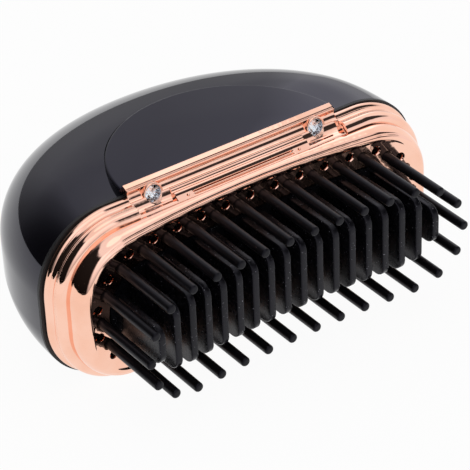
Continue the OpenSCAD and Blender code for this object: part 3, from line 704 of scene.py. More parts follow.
def turned(profile: Array, centre: Place, way: Array, sides: int) -> Array:
    """Turns a profile of (radius, height) about an axis.

    Args:
        profile: Points, shape (m, 2).
        centre: Origin of the axis.
        way: Direction of the axis.
        sides: Points round it.

    Returns:
        Rings, one for each point of the profile, shape (m, sides, 3).
    """
    u, v, w = frame_about(way)
    t = np.linspace(0, 2 * np.pi, sides, endpoint=False)
    ring = np.cos(t)[:, None] * u + np.sin(t)[:, None] * v
    return np.asarray(centre) + profile[:, None, :1] * ring[None] + profile[:, None, 1:] * w


def rectangle(x0: float, y0: float, x1: float, y1: float) -> Array:
    """The corners of a rectangle, in order round it."""
    return np.array([[x0, y0], [x1, y0], [x1, y1], [x0, y1]])


def box_tool(low: Place, high: Place) -> Solid:
    """A plain block between two corners, to carve with.

    Args:
        low: Its lowest corner.
        high: Its highest corner.

    Returns:
        The block.
    """
    ring = rectangle(*low[:2], *high[:2])
    rings = np.stack([np.column_stack([ring, np.full(4, z)]) for z in (low[2], high[2])])
    return Solid().tube(rings)


def bar(outline: Array, ends: Array) -> Solid:
    """A solid with the same outline all along X.

    Args:
        outline: Y and height above the middle of its points, shape (m, 2).
        ends: X of its two ends.

    Returns:
        The solid.
    """
    x, y, z = ends[:, None], outline[:, 0], MID_Z + outline[:, 1]
    return Solid().tube(np.stack([x + 0 * y, y + 0 * x, z + 0 * x], axis=-1))


def dress(piece: Piece, nodes: tuple[str, ...], body: Body = Body.BRUSH) -> None:
    """Puts a finished piece on its body and says which CAD nodes it replaces.

    Args:
        piece: The piece.
        nodes: The CAD nodes that it stands for.
        body: The body that it rides on.
    """
    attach(piece, body.value)
    if nodes:
        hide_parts(*nodes)
    stands_for = ", ".join(nodes) or "nothing"
    LOG.info("%s: %d faces, replaces %s", piece.name, len(piece.data.polygons), stands_for)


# ---- casing


@dataclass
class Casing:
    """The pebble casing and the raised panel on its top.

    Attributes:
        half_len: Half the casing's length.
        half_h: Half its height at the front.
        corner: Edge radius at its ends.
        rear_corner: Edge radius at its back.
        depth: Depth of its plan behind the front plane.
        power: Power of the plan's superellipse.
        rear_flat: Share of the flat top at the back.
        crown: Rise of the top behind the front plane.
        crown_run: Distance behind the front plane in which the crown comes up.
        wall: Wall thickness.
        panel_r: Radius of the raised panel.
        panel_top: Height of the panel's face above the middle.
        panel_t: Thickness of the panel.
        panel_edge: Radius of the panel's top edge.
        panel_y: Y of the panel's centre.
        panel_gap: Gap between the panel's chord and the front plane.
        drum_low: Height above the middle at which the drum under the panel starts.
        recess_gap: Gap round the panel.
        recess_high: Height above the middle to which the panel's recess is cut.
    """

    half_len: float = 57.9
    half_h: float = 24.0
    corner: float = 19.5
    rear_corner: float = 23.4
    depth: float = 59.0
    power: float = 2.08
    rear_flat: float = 0.39
    crown: float = 2.2
    crown_run: float = 17.0
    wall: float = 2.2
    panel_r: float = 32.6
    panel_top: float = 26.0
    panel_t: float = 1.5
    panel_edge: float = 0.75
    panel_y: float = FRONT_Y - 3.0
    panel_gap: float = 0.05
    drum_low: float = 8.0
    recess_gap: float = 0.1
    recess_high: float = 40.0

    def pebble(self, inset: float, rise: float, ribs: int = 145, lead: float = 0.0) -> Solid:
        """The closed pebble, inset from the outside.

        The plan is x = a rho cos^(2/p), y = d rho sin^(2/p), and each rib runs from the middle
        over a crowned flat and then a quarter circle down to the middle height, with its edge
        radius growing from the ends to the back with the square of the sine.

        Args:
            inset: Distance inside the casing's surface.
            rise: Height of the crown.
            ribs: Number of ribs from one end to the other.
            lead: Distance that the front section is carried forward.

        Returns:
            The closed solid.
        """
        a, b, d = self.half_len - inset, self.half_h - inset, self.depth - inset
        phi = np.linspace(0, np.pi, ribs)[:, None]
        w = np.sin(phi) ** 2
        edge = self.corner - inset + (self.rear_corner - self.corner) * w
        flat = (1 - (self.corner - inset) / a) * (1 - w) + self.rear_flat * w
        t = np.radians(np.linspace(0, 90, 31))[None, 1:]
        share = np.linspace(0, 1, 15)[None, 1:]
        rho = np.concatenate([flat * share, flat + (1 - flat) * np.sin(t)], axis=1)
        height = np.concatenate([b + 0 * flat * share, b - edge + edge * np.cos(t)], axis=1)
        turn = np.stack([np.cos(phi), np.sin(phi)])
        along, behind = np.sign(turn) * np.abs(turn) ** (2 / self.power)
        x, back = a * rho * along, d * rho * behind
        z = height + rise * (1 - rho**2) * ease(np.clip(back / self.crown_run, 0, 1))
        top = np.stack([x, FRONT_Y + back, z], axis=-1)
        tip = np.broadcast_to([0, FRONT_Y, b], (ribs, 1, 3))
        top = np.concatenate([tip, top], axis=1)
        low = (top * [1, 1, -1])[:, ::-1][:, 1:]
        shell = np.concatenate([top, low], axis=1)
        cols = shell.shape[1]
        shell[..., 2] += MID_Z
        faces = grid_faces(ribs, cols).tolist()
        rim = np.concatenate([shell[0], shell[-1][::-1][1:-1]])
        nose = rim - [0, lead, 0]
        solid = Solid().add(shell, faces)
        n = len(rim)
        if lead:
            solid.add(np.concatenate([rim, nose]), grid_faces(2, n, False, True))
        return solid.add(nose, [list(range(n))])

    def shell(self) -> Piece:
        """The hollow casing with its drum, its flat rest face and its holes.

        Returns:
            The casing.
        """
        casing = self.pebble(0, self.crown).to_object("casing_shell")
        centre, seat = (0, self.panel_y, MID_Z), self.panel_top - self.panel_t
        drum = disc_tool(centre, UP, self.panel_r, (self.drum_low, seat), 360).to_object("drum")
        front = box_tool((-FAR, FRONT_Y, -10), (FAR, FAR, FAR)).to_object("front")
        carve(drum, [(Carve.KEEP, front)])
        recess_r, recess = self.panel_r + self.recess_gap, (seat, self.recess_high)
        cuts = {
            "inner": self.pebble(self.wall, self.crown / 2, 73, 0.5),
            "recess": disc_tool(centre, UP, recess_r, recess, 360),
            "foot": box_tool((-FAR, -40, -30), (FAR, FAR, 0)),
            **Controls.bores(),
        }
        steps = [(Carve.CUT, tool.to_object(name)) for name, tool in cuts.items()]
        carve(casing, [(Carve.JOIN, drum), *steps], 30)
        wear(casing, CASING_ABS.build())
        return casing

    def panel(self) -> Piece:
        """The raised panel: a disc cut by the front plane, with its top edge rounded over.

        Each ring is the same outline drawn in by e: an arc of radius r - e, closed by a chord
        e behind the front plane.

        Returns:
            The panel.
        """
        turn = np.radians(np.linspace(0, 90, 11))
        e = np.concatenate([[0], self.panel_edge * (1 - np.cos(turn))])
        round_z = self.panel_top - self.panel_edge * (1 - np.sin(turn))
        z = np.concatenate([[self.panel_top - self.panel_t], round_z])
        r = self.panel_r - e[:, None]
        chord = FRONT_Y + self.panel_gap + e[:, None] - self.panel_y
        start = np.arcsin(chord / r)
        t = start + (np.pi - 2 * start) * np.linspace(0, 1, 241)[None]
        x, y = r * np.cos(t), r * np.sin(t)
        front = np.linspace(-1, 1, 42)[None, 1:-1] * r * np.cos(start)
        x = np.concatenate([x, front], axis=1)
        y = np.concatenate([y, chord + 0 * front], axis=1)
        rings = np.stack([x, self.panel_y + y, MID_Z + z[:, None] + 0 * x], axis=-1)
        return Solid().tube(rings).to_object("raised_panel", PANEL_ABS.build(), 40)

    def build(self) -> None:
        """Makes and dresses the casing's pieces."""
        dress(self.shell(), ("main_shell",))
        dress(self.panel(), ("top_panel",))


# ---- controls at the end


@dataclass
class Controls:
    """The power button in the casing's end, with the holes for the lamp and the socket.

    Attributes:
        button_y: Y of the button's axis.
        button_r: Radius of the button.
        face_x: X of the button's outer face.
        back_x: X of the back of its cap.
        socket_y: Y of the charging socket's axis.
        port_w: Width of the port.
        port_t: Thickness of the port.
        lens_y: Y of the lamp's lens.
        lens_r: Radius of the lens's hole.
        button_gap: Gap round the button.
        bore_x: X at which the holes in the casing's end start.
        bore_len: Length of the round holes.
        port_x: X at which the port's hole ends.
        rim: Rounding of the button's rim.
        dish_r: Radius of the dish's section.
        dish_deep: Depth of the dish.
        dish_turn: Degrees that the dish's section turns through.
    """

    button_y: float = 2.7
    button_r: float = 4.8
    face_x: float = 57.42
    back_x: float = 53.0
    socket_y: float = 16.0
    port_w: float = 10.5
    port_t: float = 4.7
    lens_y: float = 11.325
    lens_r: float = 1.0
    button_gap: float = 0.2
    bore_x: float = 48.0
    bore_len: float = 20.0
    port_x: float = 70.0
    rim: float = 0.5
    dish_r: float = 18.0
    dish_deep: float = 0.4
    dish_turn: float = 11.4

    @classmethod
    def bores(cls) -> dict[str, Solid]:
        """The tools that open the casing's end for the button, the lamp and the socket.

        Returns:
            Each tool by its name: two cylinders, and the port's stadium outline along X.
        """
        holes = {
            "hole": (cls.button_y, cls.button_r + cls.button_gap, 96),
            "lens": (cls.lens_y, cls.lens_r, 32),
        }
        span, r = (0.0, cls.bore_len), cls.port_t / 2
        tools = {
            name: disc_tool((cls.bore_x, y, MID_Z), RIGHT, hole_r, span, sides)
            for name, (y, hole_r, sides) in holes.items()
        }
        half = cls.port_w / 2 - r
        ring = np.concatenate([arc(0, half, r, 0, 180, 16), arc(0, -half, r, 180, 360, 16)])
        port = bar(ring + [cls.socket_y, 0], np.array([cls.bore_x, cls.port_x]))
        return {**tools, "port": port}

    def button(self) -> Piece:
        """The button's cap: a rounded rim round a shallow dish with a raised middle dot.

        Returns:
            The cap.
        """
        r, x, back, rim = self.button_r, self.face_x, self.back_x, self.rim
        dish = arc(0, x - self.dish_deep + self.dish_r, self.dish_r, -90, -90 + self.dish_turn, 10)
        profile = np.concatenate([
            [[1.6, 49.6], [1.6, back - 1.3], [r + 1.1, back - 1.3], [r + 1.1, back - 0.15]],
            [[r, back], [r, x - rim]],
            arc(r - rim, x - rim, rim, 10, 90, 6),
            [[r - 0.9, x]],
            dish[:0:-1],
            [[1e-4, x - self.dish_deep]],
        ])
        cap = Solid().turn(profile, (0, self.button_y, MID_Z), RIGHT, 96)
        return cap.to_object("power_button_cap", PANEL_ABS.build(), 30)

    def build(self) -> None:
        """Makes and dresses the button."""
        dress(self.button(), ("power_button",), Body.BUTTON)


# ---- rose gold band and bridge


@dataclass
class Band:
    """The stepped rose gold band round the casing's mouth, open where the bridge crosses it.

    Attributes:
        a: Half length of its path.
        b: Half height of its path.
        corner: Corner radius of its path.
        depth: Front edge in front of the casing.
        back: Back edge in front of the casing, where the gasket ends.
        bridge_half: Half length of the bridge.
        bridge_gap: Gap at each end of the bridge.
        flange: Outset and forward distance of two corners of the flange's section.
        sleeve: The same two corners of the sleeve's section, from its own path.
        sleeve_in: Distance of the sleeve's path inside the casing's edge.
    """

    a: float = 57.2
    b: float = 24.0
    corner: float = 19.8
    depth: float = 7.7
    back: float = 0.9
    bridge_half: float = 31.7
    bridge_gap: float = 0.02
    flange: tuple[float, ...] = (-9.0, 0.9, -4.0, 2.9)
    sleeve: tuple[float, ...] = (-1.4, -5.0, 0.0, 1.2)
    sleeve_in: float = 3.5

    def section(self) -> Array:
        """A bead, a fine groove, a shallow cove, two lines and a broad ridge.

        Returns:
            The closed outline, shape (n, 2), as outset and forward distance.
        """
        g, d = self.back, self.depth
        t = np.radians(np.linspace(4, 88, 16))
        ridge = np.column_stack([-3.1 + 2.25 * np.cos(t), d - 2.05 + 2.05 * np.sin(t)])
        outline = np.concatenate([
            [[-4.1, g], [-0.6, g]],
            arc(-0.95, g + 1.02, 0.95, -62, 50, 14),
            [[-0.52, g + 1.92], [-0.72, g + 2.06], [-0.64, g + 2.16]],
            arc(0.22, g + 3.15, 1.3, 224, 136, 14),
            [[-0.9, g + 4.2], [-0.78, g + 4.32], [-0.8, g + 4.44]],
            [[-0.94, g + 4.54], [-0.84, g + 4.64]],
            ridge,
            [[-3.1, d], [-4.1, d]],
        ])
        return soften(outline, 0.1)

    def ring(self) -> Piece:
        """The band with its inner flange and the sleeve that enters the casing.

        Returns:
            The band.
        """
        path = RoundRect(self.a, self.b, self.corner, 40, 36)
        solid = Solid().tube(sweep(path.path(self.bridge_half + self.bridge_gap), self.section()))
        solid.tube(sweep(path.path(), rectangle(*self.flange)), True)
        edge = (Casing.half_len, Casing.half_h, Casing.corner)
        inner = RoundRect(*(size - self.sleeve_in for size in edge), 24, 12)
        solid.tube(sweep(inner.path(), rectangle(*self.sleeve)), True)
        return solid.to_object("outer_band_ring", ROSE_GOLD.build(), 38)

    def build(self) -> None:
        """Makes and dresses the band."""
        dress(self.ring(), ("outer_band",))


def dent(points: Array, v: float, h: float, w: float) -> Array:
    """Weight of a dent at (v, h), as exp(-d^2 / w^2) at a distance d from it."""
    return np.exp(-(((points[:, 0] - v) ** 2 + (points[:, 1] - h) ** 2) / w**2))


@dataclass
class Bridge:
    """The straight trim across the top with its coves, grooves and two stone sockets.

    Attributes:
        half: Half its length.
        top: Height of its back edge above the middle.
        depth: Front edge in front of the casing.
        floor: Height of its underside.
        stone_x: Distance of a stone from the middle.
        stone_v: Stone's seat in front of the casing.
        stone_z: Stone's seat above the middle.
        stone_r: Radius of a stone.
        slot_half: Half length of the slot lines.
        pocket_in: Distance from the middle to a stone pocket.
        pocket_out: Distance from the middle to the far side of a pocket.
        pocket_floor: Height of a pocket's floor above the middle.
        tilt: Degrees that the stones face upwards.
        groove_deep: Depth of the long grooves.
        slot_deep: Depth of the slot lines.
        end_round: Length of the rounding at each end.
        stone_gap: Gap round a stone.
        stud_r: Radius of a stud.
    """

    half: float = 31.7
    top: float = 26.6
    depth: float = 7.7
    floor: float = 20.6
    stone_x: float = 24.9
    stone_v: float = 3.1
    stone_z: float = 23.25
    stone_r: float = 2.3
    slot_half: float = 15.4
    pocket_in: float = 20.2
    pocket_out: float = 31.1
    pocket_floor: float = 21.1
    tilt: float = 7.0
    groove_deep: float = 0.16
    slot_deep: float = 0.7
    end_round: float = 0.2
    stone_gap: float = 0.02
    stud_r: float = 0.42

    @property
    def lean(self) -> Array:
        """Direction that the stones face: forward and a little up."""
        return np.array([0.0, -np.cos(np.radians(self.tilt)), np.sin(np.radians(self.tilt))])

    def seat(self, side: int) -> Place:
        """Middle of a stone's seat."""
        return (side * self.stone_x, FRONT_Y - self.stone_v, MID_Z + self.stone_z)

    def section(self) -> tuple[Array, Array, Array]:
        """The rail's section with the masks of its grooves.

        Returns:
            Points (m, 2) as forward distance and height, the weight of the grooves that run
            the whole way, and the weight of the slot lines that stop short of the stones.
        """
        z, d = self.top, self.depth
        outline = soften(np.concatenate([
            [[0.0, 24.1], [0.0, z], [1.9, z - 0.7], [2.25, z - 0.9]],
            arc(3.75, z - 1.75, 1.75, 150, 262, 22),
            [[3.7, z - 3.55]],
            arc(4.6, z - 3.75, 0.75, 190, 262, 8),
            arc(5.2, z - 4.85, 0.75, 132, 45, 10),
            [[6.1, z - 4.75], [d, z - 5.7], [d, self.floor], [0.9, self.floor], [0.9, 24.1]],
        ]), 0.14)
        step = np.linalg.norm(np.diff(outline, axis=0, append=outline[:1]), axis=1)
        count = np.maximum((step / 0.07).astype(int), 1)
        start = np.repeat(np.arange(len(outline)), count)
        share = np.concatenate([np.arange(n) / n for n in count])[:, None]
        fine = outline[start] * (1 - share) + np.roll(outline, -1, axis=0)[start] * share
        whole = dent(fine, 1.5, z - 0.55, 0.11) + dent(fine, 1.95, z - 0.73, 0.1)
        slots = dent(fine, 6.42, z - 4.94, 0.16) + 0.75 * dent(fine, 7.12, z - 5.35, 0.16)
        return fine, whole, slots

    def rail(self) -> Array:
        """Carries the section along X; the slot lines fade out and the ends are rounded.

        Returns:
            Rings of points, shape (rings, points, 3).
        """
        fine, whole, slots = self.section()
        ahead = np.roll(fine, -1, axis=0) - np.roll(fine, 1, axis=0)
        ahead /= np.maximum(np.linalg.norm(ahead, axis=1, keepdims=True), 1e-9)
        inward = np.column_stack([ahead[:, 1], -ahead[:, 0]])
        ends = np.linspace(self.slot_half - 0.8, self.slot_half + 0.2, 7)
        last = self.half - np.linspace(0, self.end_round, 5)
        even = np.linspace(-self.half, self.half, 61)
        x = np.unique(np.concatenate([even, ends, -ends, last, -last]))[:, None]
        fade = np.clip((self.slot_half - np.abs(x)) / 0.5, 0, 1)
        over = np.clip((np.abs(x) - self.half + self.end_round) / self.end_round, 0, 1)
        depth = self.groove_deep * whole + self.slot_deep * slots * fade
        depth = depth + 0.1 * (1 - np.sqrt(1 - over**2))
        place = fine + inward * depth[..., None]
        v, h = place[..., 0], place[..., 1]
        return np.stack([x + 0 * v, FRONT_Y - v, MID_Z + h], axis=-1)

    def pocket(self, side: int) -> Piece:
        """A stone's pocket: its back wall is a cove that runs out into its floor.

        Args:
            side: -1 for the left stone, 1 for the right.

        Returns:
            The tool that cuts the pocket.
        """
        wall = arc(self.stone_v + 3.1, self.pocket_floor + 2.9, 2.9, 152, 268, 14)
        high = self.top + 2.0
        ring = np.concatenate([wall, [[9.5, self.pocket_floor], [9.5, high], [4.2, high]]])
        outline = soften(ring, 0.25) * [-1, 1] + [FRONT_Y, 0]
        ends = np.array([self.pocket_in, self.pocket_out]) * side
        return bar(outline, ends).to_object("pocket")

    def seat_tool(self, side: int) -> Piece:
        """The hole for a stone: a short cylinder over a cone.

        Args:
            side: -1 for the left stone, 1 for the right.

        Returns:
            The tool that cuts the hole.
        """
        r = self.stone_r + 0.03
        hole = np.array([[1e-4, -1.85], [r, -0.2], [r, 3.0]])
        return Solid().turn(hole, self.seat(side), self.lean, 48).to_object("seat")

    def trim(self) -> Piece:
        """The rail with its pockets and the stones' seats cut out.

        Returns:
            The rail.
        """
        rail = Solid().tube(self.rail()).to_object("bridge_trim_rail")
        tools = [make(side) for make in (self.pocket, self.seat_tool) for side in SIDES]
        carve(rail, [(Carve.CUT, tool) for tool in tools], 38)
        wear(rail, ROSE_GOLD.build())
        return rail

    def socket(self, side: int) -> Piece:
        """A stone's bezel, which stands out of the pocket's wall, and the stud by the slots.

        Args:
            side: -1 for the left stone, 1 for the right.

        Returns:
            The bezel and the stud as one piece.
        """
        solid = Solid().turn(self.bezel(), self.seat(side), self.lean, 64, True)
        stud = np.concatenate([[[self.stud_r, -0.6]], arc(0, 0.0, self.stud_r, 0, 80, 5)])
        centre = (side * (self.slot_half + 1.6), FRONT_Y - 6.75, MID_Z + self.top - 5.05)
        solid.turn(stud, centre, np.array([0, -0.45, 0.9]), 16)
        bezel = solid.to_object(f"{SIDES[side]}_stone_bezel", ROSE_GOLD.build(), 38)
        keep = box_tool((-FAR, -FAR, MID_Z + self.floor + 0.1), (FAR, FAR, FAR))
        carve(bezel, [(Carve.KEEP, keep.to_object("keep"))], 38)
        return bezel

    def bezel(self) -> Array:
        """Section of a stone's bezel: a rounded ring that stands round the seat.

        Returns:
            The closed section, shape (n, 2), as radius and height over the seat.
        """
        r = self.stone_r
        return np.concatenate([
            [[r + 0.56, -1.3], [r + 0.56, -0.1]],
            arc(r + 0.28, 0.0, 0.28, 0, 170, 12),
            [[r, 0.0], [r, -0.3], [r + 0.25, -1.3]],
        ])

    def stone(self, side: int) -> list[Piece]:
        """A cut stone over its foil.

        The crown's middle ring and the pavilion's middle ring step up and down from point to
        point, so that sixteen flat facets lean different ways round each of them.

        Args:
            side: -1 for the left stone, 1 for the right.

        Returns:
            The crystal and the foil.
        """
        r = self.stone_r - self.stone_gap
        crown = [
            [1e-4, -1.5], [r * 0.52, -0.78], [r, -0.08], [r, 0.1],
            [r * 0.8, 0.36], [r * 0.55, 0.6], [1e-4, 0.62],
        ]
        foil = [
            [1e-4, -1.66], [r * 0.52, -0.94], [r, -0.2],
            [r, -0.12], [r * 0.52, -0.86], [1e-4, -1.58],
        ]
        step = np.where(np.arange(16) % 2, 0.13, -0.13)[:, None] * frame_about(self.lean)[2]
        gem, cup = (turned(np.array(p), self.seat(side), self.lean, 16) for p in (crown, foil))
        gem[1] -= step
        gem[4] += step * 0.6
        cup[[1, 4]] -= step
        return [
            Solid().tube(rings).to_object(f"{SIDES[side]}_stone_{kind}", finish.build(), 5)
            for kind, rings, finish in (("crystal", gem, CRYSTAL), ("foil", cup, STONE_FOIL))
        ]

    def build(self) -> None:
        """Makes and dresses the bridge and its stones."""
        dress(self.trim(), ("bridge_trim",))
        for side in SIDES:
            dress(self.socket(side), ("bridge_trim",))
        for side, node in ((-1, "left_stone"), (1, "right_stone")):
            for piece in self.stone(side):
                dress(piece, (node,))


# ---- face plate


@dataclass
class PinRing:
    """The stadium ring that the pins and the vent holes stand on.

    Attributes:
        half: Half its straight stretch.
        r: Radius of its ends.
        count: Number of pins.
        bow: The bow of the face that it lies on.
    """

    half: float = 33.5
    r: float = 14.5
    count: int = 30
    bow: Bow = field(default_factory=Bow)

    def spots(self, shift: float, outset: float) -> Array:
        """Points spaced evenly by length round the ring.

        A length s runs from the right end: round the quarter turn, then along the straight
        half, and the other quarters are its mirror images.

        Args:
            shift: Share of a step to move them on by.
            outset: Distance outside the ring.

        Returns:
            Points (n, 2) as X and Z about the middle.
        """
        bend = np.pi * self.r / 2
        quarter = bend + self.half
        s = (np.arange(self.count) + shift) * 4 * quarter / self.count
        part = np.floor(s / quarter + 1e-6).astype(int)
        rest = np.where(part % 2 == 1, quarter - (s - part * quarter), s - part * quarter)
        t, reach = np.minimum(rest, bend) / self.r, self.r + outset
        x = np.where(rest < bend, self.half + reach * np.cos(t), self.half - (rest - bend))
        z = np.where(rest < bend, reach * np.sin(t), reach)
        x_side = np.where((part == 1) | (part == 2), -1, 1)
        return np.column_stack([x * x_side, z * np.where(part >= 2, -1, 1)])

    def plant(
        self, solid: Solid, profile: Array, sides: int, shift: float = 0.0, outset: float = 0.0
    ) -> Solid:
        """Adds a turned profile at each spot, on the bowed face.

        Args:
            solid: The solid to add to.
            profile: Points of radius and distance in front of the face, shape (m, 2).
            sides: Points round it.
            shift: Share of a step to move the spots on by.
            outset: Distance of the spots outside the ring.

        Returns:
            The same solid.
        """
        shape = turned(profile, (0, 0, MID_Z), AHEAD, sides)
        for x, z in self.spots(shift, outset).tolist():
            solid.tube(shape + [x, float(self.bow.at(x)), z])
        return solid


@dataclass
class FacePlate:
    """The bowed plate inside the band, with its raised rim and its holes.

    Attributes:
        a: Half length of its outline.
        b: Half height of its outline.
        corner: Corner radius of its outline.
        rim_h: Height of the rim above the face.
        notch: Depth of the groove below the rim's crest.
        plate_t: Thickness of the plate.
        back: Back edge of its skirt in front of the casing.
        widest: Widest point of the rim in front of the casing.
        tuck: Degrees that the rim's ellipse starts behind its widest point.
        vent_outset: Distance of the vent holes outside the ring of pins.
        ring: The ring of pins, with the bow of the face.
    """

    a: float = 54.1
    b: float = 20.9
    corner: float = 16.7
    rim_h: float = 0.6
    notch: float = 0.2
    plate_t: float = 2.0
    back: float = 4.4
    widest: float = 7.4
    tuck: float = 12.0
    vent_outset: float = 1.2
    ring: PinRing = field(default_factory=PinRing)

    def build(self) -> None:
        """Makes the plate, cuts its holes and dresses it."""
        rings = np.concatenate([self.skirt(), self.inside()])
        plate = Solid().tube(rings, True).to_object("bowed_face_plate")
        vent = np.array([[1.12, -8.0], [1.12, -0.3], [1.18, -0.13], [1.36, 0.02], [1.8, 0.4]])
        pin = np.array([[1.38, -8.0], [1.38, -0.12], [1.6, 0.05], [1.9, 0.3]])
        holes = self.ring.plant(Solid(), vent, 32, 0.5, self.vent_outset)
        holes = self.ring.plant(holes, pin, 32).to_object("holes")
        carve(plate, [(Carve.CUT, holes)], 24)
        wear(plate, ROSE_GOLD.build())
        dress(plate, ("face_plate",))

    def skirt(self) -> Array:
        """Rings from the skirt's back edge over the rounded rim and down to the face.

        The rim is part of an ellipse, from a little behind its widest point to its crest. Its
        depth follows the face 3.3 inside the outline, and its width is 0.9 and 0.42 of its
        depth. A fine groove runs round it at 64 degrees, and a half wave falls from its crest
        to the face. From 40 to 50 either side of the middle it drops to a tenth of its height.

        Returns:
            Rings of points, shape (rings, points, 3).
        """
        place, out = RoundRect(self.a, self.b, self.corner, 26, 40).path()
        bow = self.ring.bow.at(place[:, 0] - 3.3 * out[:, 0])
        fall = ease(np.clip((np.abs(place[:, 0]) - 40.0) / 10.0, 0, 1))
        height = self.rim_h * (1 - 0.9 * fall)
        start, behind = FRONT_Y - self.widest, np.sin(np.radians(self.tuck))
        deep = (start - bow + height) / (1 + behind)
        wide = 0.9 + 0.42 * deep
        turn = np.linspace(-self.tuck, 90, 44)[:, None]
        notch = self.notch * (1 - fall) * np.exp(-(((turn - 64) / 5.5) ** 2))
        t = np.radians(turn)
        # 0.0219 is 1 - cos(tuck), rounded, so that the rim starts on the outline itself.
        inset = wide * (1 - np.cos(t)) - 0.0219 * wide + notch * np.cos(t)
        y = start - deep * (behind + np.sin(t)) + notch * np.sin(t)
        u = np.linspace(0, 1, 12)[1:, None]
        foot = 3.75 - 0.4 * np.abs(out[:, 1])
        last = inset[-1] + 0.12
        fallen = last + (foot - last) * u
        face = self.ring.bow.at(place[:, 0] - out[:, 0] * fallen)
        inset = np.concatenate([inset[:1] + 0.4, inset, last[None], fallen])
        back = np.full((1, len(place)), FRONT_Y - self.back)
        wave = y[-1] + (face - y[-1]) * (0.5 - 0.5 * np.cos(np.pi * u))
        x, z = (place[:, k] - out[:, k] * inset for k in (0, 1))
        return np.stack([x, np.concatenate([back, y, y[-1:], wave]), z + MID_Z], axis=-1)

    def inside(self) -> Array:
        """Rings from the rim's foot to the comb's opening and back along the plate's back.

        Returns:
            Rings of points, shape (rings, points, 3).
        """
        rings, t = [], -self.plate_t
        # Half length, half height and corner of each outline, and its height over the face;
        # the last outline is level with the skirt's back edge.
        shapes = (
            (50.1, 17.4, 13.6, 0.0), (48.0, 15.0, 12.9, 0.0), (45.5, 11.4, 11.4, 0.0),
            (45.33, 11.23, 11.23, -0.1), (45.3, 11.2, 11.2, -0.3), (45.3, 11.2, 11.2, t),
            (51.2, 18.0, 13.8, t), (51.2, 18.0, 13.8, None),
        )
        for a, b, r, lift in shapes:
            x, z = RoundRect(a, b, r, 26, 40).path()[0].T
            level = FRONT_Y - self.back + 0 * x
            y = level if lift is None else self.ring.bow.at(x) - lift
            rings.append(np.column_stack([x, y, z + MID_Z]))
        return np.stack(rings)


# ---- pins and blades


@dataclass
class Pins:
    """The thirty outer pins.

    Attributes:
        r: Radius of a pin.
        length: Length in front of the face.
        head_r: Radius of its head behind the plate.
        tip_r: Rounding of its tip.
        ring: The ring that they stand on.
    """

    r: float = 1.3
    length: float = 22.1
    head_r: float = 2.1
    tip_r: float = 0.55
    ring: PinRing = field(default_factory=PinRing)

    def build(self) -> None:
        """Turns one pin, repeats it round the ring and dresses it.

        A pin is a straight shank whose tip is a flat disc with a rounded edge.
        """
        r, n, head, tip = self.r, self.length, self.head_r, self.tip_r
        profile = np.concatenate([
            [[1e-4, -2.45], [head, -2.45], [head, -1.25], [r, -1.25], [r, 0.0]],
            [[r * 0.995, n * 0.5], [r * 0.975, n - 0.9]],
            arc(r * 0.975 - tip, n - tip, tip, 4, 82, 7),
            [[r * 0.28, n - 0.005], [1e-4, n]],
        ])
        pins = self.ring.plant(Solid(), profile, 28)
        piece = pins.to_object("outer_nylon_pins", PIN_NYLON.build(), 40)
        dress(piece, ("outer_pins",))


@dataclass
class Comb:
    """The eighteen heated blades.

    Attributes:
        count: Number of blades.
        pitch: Distance from blade to blade.
        thick: Thickness of a blade.
        length: Front edge in front of the face.
        foot: Depth of a blade's foot behind the face.
        half_h: Half height of the comb.
        half_len: Half length of the comb.
        corner: Radius of a blade's front corners.
        edge: Rounding of a blade's edges.
        tang: Length of the stretch by its foot.
        land: Least straight length between its two front corners' rounding, halved.
        bow: The bow of the face.
    """

    count: int = 18
    pitch: float = 4.95
    thick: float = 2.0
    length: float = 18.8
    foot: float = 2.5
    half_h: float = 10.3
    half_len: float = 44.6
    corner: float = 3.2
    edge: float = 0.38
    tang: float = 6.0
    land: float = 0.5
    bow: Bow = field(default_factory=Bow)

    def blade(self, x: float) -> Array:
        """Rings across one blade from face to face.

        Each ring is the side outline drawn in by e: a rectangle whose two front corners are
        circles. e follows a quarter circle at both faces, so that the edges are rounded.

        Args:
            x: Place of the blade's middle.

        Returns:
            Rings of points, shape (rings, points, 3).
        """
        over = max(abs(x) + self.thick / 2 - (self.half_len - self.half_h), 0.0)
        half = np.sqrt(self.half_h**2 - over**2)
        t = np.radians(np.linspace(0, 90, 6))
        near, away = self.edge * (1 - np.cos(t)), self.edge * (1 - np.sin(t))
        e = np.concatenate([away, near])[:, None]
        across = np.concatenate([near - self.thick / 2, self.thick / 2 - away])
        r = min(self.corner, half - self.land)
        turn = np.radians(np.linspace(-90, 0, 13))[None]
        low_v = self.length - r + (r - e) * np.cos(turn)
        low_z = -(half - r) + (r - e) * np.sin(turn)
        foot_v = np.full_like(e, -self.foot)
        up_v = foot_v + self.tang
        v = np.concatenate([foot_v, up_v, low_v, low_v[:, ::-1], up_v, foot_v], axis=1)
        side = half - e
        z = np.concatenate([-side, -side, low_z, -low_z[:, ::-1], side, side], axis=1)
        y = float(self.bow.at(x)) - v
        return np.stack([x + across[:, None] + 0 * v, y, z + MID_Z], axis=-1)

    def build(self) -> None:
        """Makes the blades as one piece and dresses it."""
        solid = Solid()
        for k in range(self.count):
            solid.tube(self.blade((k - (self.count - 1) / 2) * self.pitch))
        piece = solid.to_object("comb_blades", BLADE_COATING.build(), 40)
        dress(piece, ("heating_blades",))


# ---- CAD nodes that stay


